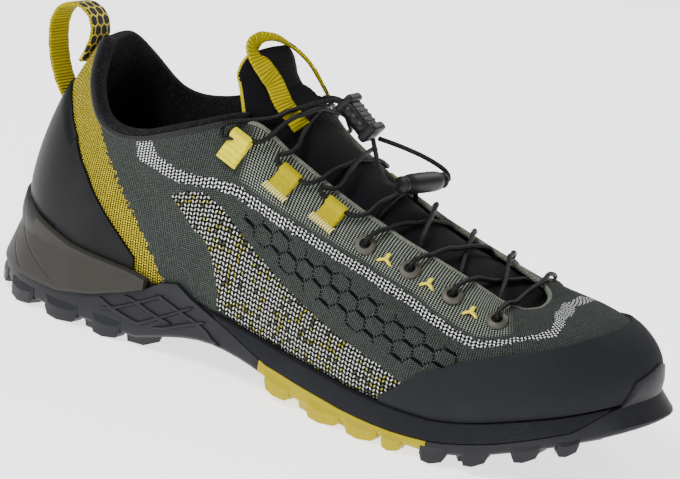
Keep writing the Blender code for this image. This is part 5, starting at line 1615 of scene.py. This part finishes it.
    def crossing(self, start: Place, end: Place, side: int, hump: float) -> list[np.ndarray]:
        """Way of one crossing, from one side of the throat forward to the other.

        Args:
            start: Where it starts.
            end: Where it ends, on the other side.
            side: -1 where it starts on the outer side and 1 on the inner.
            hump: How far it rises in the middle over the lace that crosses it.

        Returns:
            Points along it.
        """
        points, k_start = self.start(start, side)
        to_guide = end not in EYELETS
        k_end = end.k - (0.14 if to_guide else 0.12)
        edge_lift = LAST.wall + self.tongue.gap
        for t in (0.08, 0.20, 0.35, 0.50, 0.65, 0.80) + ((0.92,) if to_guide else (0.88,)):
            fall = max(0.0, 1 - t / 0.35)
            rise = max(0.0, 1 - (1 - t) / 0.35) if to_guide else 0.0
            over = hump * min(1.0, (0.5 - abs(t - 0.5)) / 0.22)
            out = self.rest + 0.1 * MM + over + edge_lift * (fall + rise)
            points.append(self.tongue.over(k_start + (k_end - k_start) * t, side * (1 - 2 * t), out))
        far = LAST.round - end.k if side < 0 else end.k
        back = 1 if side < 0 else -1
        if to_guide:
            points.append(LAST.point(far + back * 0.20, 1.0, self.rest + 0.6 * MM))
            points.append(LAST.point(far + back * (self.reach + 0.06), end.v + 0.04, self.through))
            points.append(LAST.point(far + back * self.reach, end.v, self.through))
        else:
            points.append(LAST.point(far + back * 0.08, 0.97, -LAST.wall - 1.6 * MM))
            points.append(LAST.point(far, end.v + 0.03, -LAST.wall - 1.8 * MM))
        return points

    def lace(self) -> None:
        """The lace on the throat, from the bar at the toe to the lock."""
        piece = Piece("lace_run")
        bar = EYELETS[-1]
        over = self.ring_high + OVERLAY_GAP + self.rest
        climb = [
            (bar.k, bar.v, -2.0 * MM), (bar.k, bar.v, 0.6 * MM), (bar.k, bar.v + 0.03, over),
            (bar.k + 0.25, 0.90, self.rest + 1.0 * MM),
        ]
        outer = [LAST.point(k, v, out) for k, v, out in climb]
        inner = [LAST.point(LAST.round - k, v, out) for k, v, out in reversed(climb)]
        clear = self.rest + LAST.wall + self.tongue.gap
        routes = [outer + [self.tongue.over(bar.k + 0.62, t, clear) for t in (-0.9, 0, 0.9)] + inner]
        stops = [high for _, high in GUIDES] + EYELETS
        for i, (start, end) in enumerate(zip(stops, stops[1:])):
            for side in (-1, 1):
                hump = (2 * LACE_RADIUS + 0.3 * MM) if (side < 0) == (i % 2 == 0) else 0.0
                routes.append(self.crossing(start, end, side, hump))
        top = GUIDES[0][1]
        for side in (-1, 1):
            rear = top.k - self.reach
            k = np.array([rear, rear - 0.05, rear + 0.02])
            k = k if side < 0 else LAST.round - k
            way = [LAST.point(k[0], top.v, self.through), LAST.point(k[1], top.v + 0.05, self.through)]
            way.append(LAST.point(k[2], 1.0, self.through))
            way.append(self.tongue.over(6.25, side * 0.80, 2.6 * MM))
            way.append(self.tongue.over(6.45, side * 0.42, 3.2 * MM))
            into_lock = ((-0.0115, side * 0.0026, 0.1135), (-0.0040, side * 0.0022, 0.1120))
            routes.append(way + [np.array(spot) for spot in into_lock])
        for way in routes:
            piece.tube(route(way, 1.1 * MM), LACE_RADIUS, Look.LACE.material, sides=10)
        names = ["lace_bar"] + [f"lace_{side}_{i}" for side in ("outer", "inner") for i in range(1, 8)]
        piece.done(names)

    def lock(self) -> None:
        """The block that clamps the lace, with its barrel and ridges."""
        turn = Matrix.Translation((0.0, 0.002, 0.109)) @ Matrix.Rotation(math.radians(36), 4, "Y")
        piece = Piece("lock_body")
        plastic = Look.PLASTIC.material
        block = turn @ Matrix.Translation((0, 0, -0.6 * MM))
        piece.box((16.0 * MM, 9.6 * MM, 6.8 * MM), block, plastic, 1.6 * MM)
        for along, wide in ((7.6, 3.8), (-7.6, 3.4)):
            flange = turn @ Matrix.Translation((along * MM, 0, 0))
            piece.box((wide * MM, 10.4 * MM, 9.0 * MM), flange, plastic, 1.2 * MM)
        barrel = turn @ Matrix.Translation((0, -3.0 * MM, -0.6 * MM))
        barrel = barrel @ Matrix.Rotation(math.radians(90), 4, "Y")
        piece.spin(self.BARREL, barrel, plastic)
        for row in range(4):
            ridge = turn @ Matrix.Translation(((row - 1.5) * 2.4 * MM, 0.6 * MM, 2.3 * MM))
            piece.box((1.2 * MM, 7.0 * MM, 1.6 * MM), ridge, plastic, 0.4 * MM)
        piece.done(["cord_lock"], sharp=60)

    def free_ends(self) -> None:
        """The two free ends of the lace and the grip that joins them."""
        grip = Piece("grip_body")
        turn = Matrix.Translation((0.032, 0.002, 0.0905)) @ Matrix.Rotation(math.radians(-12), 4, "Z")
        turn = turn @ Matrix.Rotation(math.radians(90), 4, "X")
        grip.spin(self.GRIP, turn, Look.PLASTIC.material, steps=28)
        joined = grip.done(["cord_grip"], sharp=60)
        for label, points in self.tails.items():
            path = route(points, 0.8 * MM)
            piece = Piece(f"lace_end_{label}")
            piece.tube(path, LACE_RADIUS, Look.LACE.material, sides=10)
            obj = piece.done([f"lace_tail_{label}"])

    def build(self) -> None:
        """Every piece of the lacing."""
        self.eyelets()
        self.guides()
        self.accents()
        self.lace()
        self.lock()
        self.free_ends()


class Stage:
    """Floor, light and camera."""

    sensor = 36
    focal = 2211 / 680 * sensor
    glow = 1.8
    sky = 0.36
    # Each lamp's place, size and power.
    lamps = {
        "key": ((-0.6, -1.1, 1.5), 0.7, 38),
        "fill": ((1.4, -1.2, 0.7), 1.2, 6),
        "back": ((0.2, 1.4, 1.3), 1.0, 14),
    }
    # The camera's turn round the shoe, its height angle and its roll, in degrees, and its distance.
    angles = (25.4, 15.7, 10.5)
    distance = 0.9

    def floor(self) -> None:
        """A plain pale floor."""
        piece = Piece("floor")
        made = bmesh.ops.create_grid(piece.bm, x_segments=1, y_segments=1, size=6)
        bmesh.ops.translate(piece.bm, verts=made["verts"], vec=(0, 0, -0.05 * MM))
        mesh = bpy.data.meshes.new("floor")
        piece.bm.to_mesh(mesh)
        piece.bm.free()
        floor = Look.FLOOR.material
        shader = floor.node_tree.nodes["Principled BSDF"]
        shader.inputs["Emission Color"].default_value = (1, 1, 1, 1)
        shader.inputs["Emission Strength"].default_value = self.glow
        mesh.materials.append(floor)
        obj = bpy.data.objects.new("floor", mesh)
        bpy.context.scene.collection.objects.link(obj)

    def lamp(self, name: str, place: Sequence[float], size: float, power: float) -> None:
        """A square soft light that faces the shoe."""
        data = bpy.data.lights.new(name, "AREA")
        data.size, data.energy = size, power
        obj = bpy.data.objects.new(name, data)
        obj.location = place
        obj.rotation_euler = (Vector((0, 0, 0.05)) - Vector(place)).to_track_quat("-Z", "Y").to_euler()
        bpy.context.scene.collection.objects.link(obj)

    def build(self) -> None:
        """Floor, lamps, sky and camera."""
        self.floor()
        for name, (place, size, power) in self.lamps.items():
            self.lamp(name, place, size, power)
        world = bpy.data.worlds.new("sky")
        world.use_nodes = True
        background = world.node_tree.nodes["Background"]
        background.inputs["Color"].default_value = (1, 1, 1, 1)
        background.inputs["Strength"].default_value = self.sky
        bpy.context.scene.world = world
        data = bpy.data.cameras.new("camera")
        data.sensor_width, data.lens = self.sensor, self.focal
        data.shift_x, data.shift_y = 8 / 680, 29.5 / 680
        data.clip_start, data.clip_end = 0.01, 50
        camera = bpy.data.objects.new("camera", data)
        azimuth, elevation, roll = (math.radians(value) for value in self.angles)
        level = math.cos(elevation)
        back = Vector((math.sin(azimuth) * level, -math.cos(azimuth) * level, math.sin(elevation)))
        right = Vector((math.cos(azimuth), math.sin(azimuth), 0))
        up = back.cross(right)
        turned = right * math.cos(roll) + up * math.sin(roll)
        upright = up * math.cos(roll) - right * math.sin(roll)
        matrix = Matrix((turned, upright, back)).transposed().to_4x4()
        matrix.translation = Vector((0, 0.002, 0.045)) + back * self.distance
        camera.matrix_world = matrix
        bpy.context.scene.collection.objects.link(camera)
        bpy.context.scene.camera = camera


def main() -> None:
    """Build the shoe and its stage, piece by piece."""
    logging.basicConfig(level=logging.INFO, format="%(message)s")
    Stage().build()
    tongue = Tongue()
    Lacing(tongue).build()
    Upper().build()
    Sole().build()
    tongue.build()
    Loops().build(tongue)


if __name__ == "__main__":
    main()
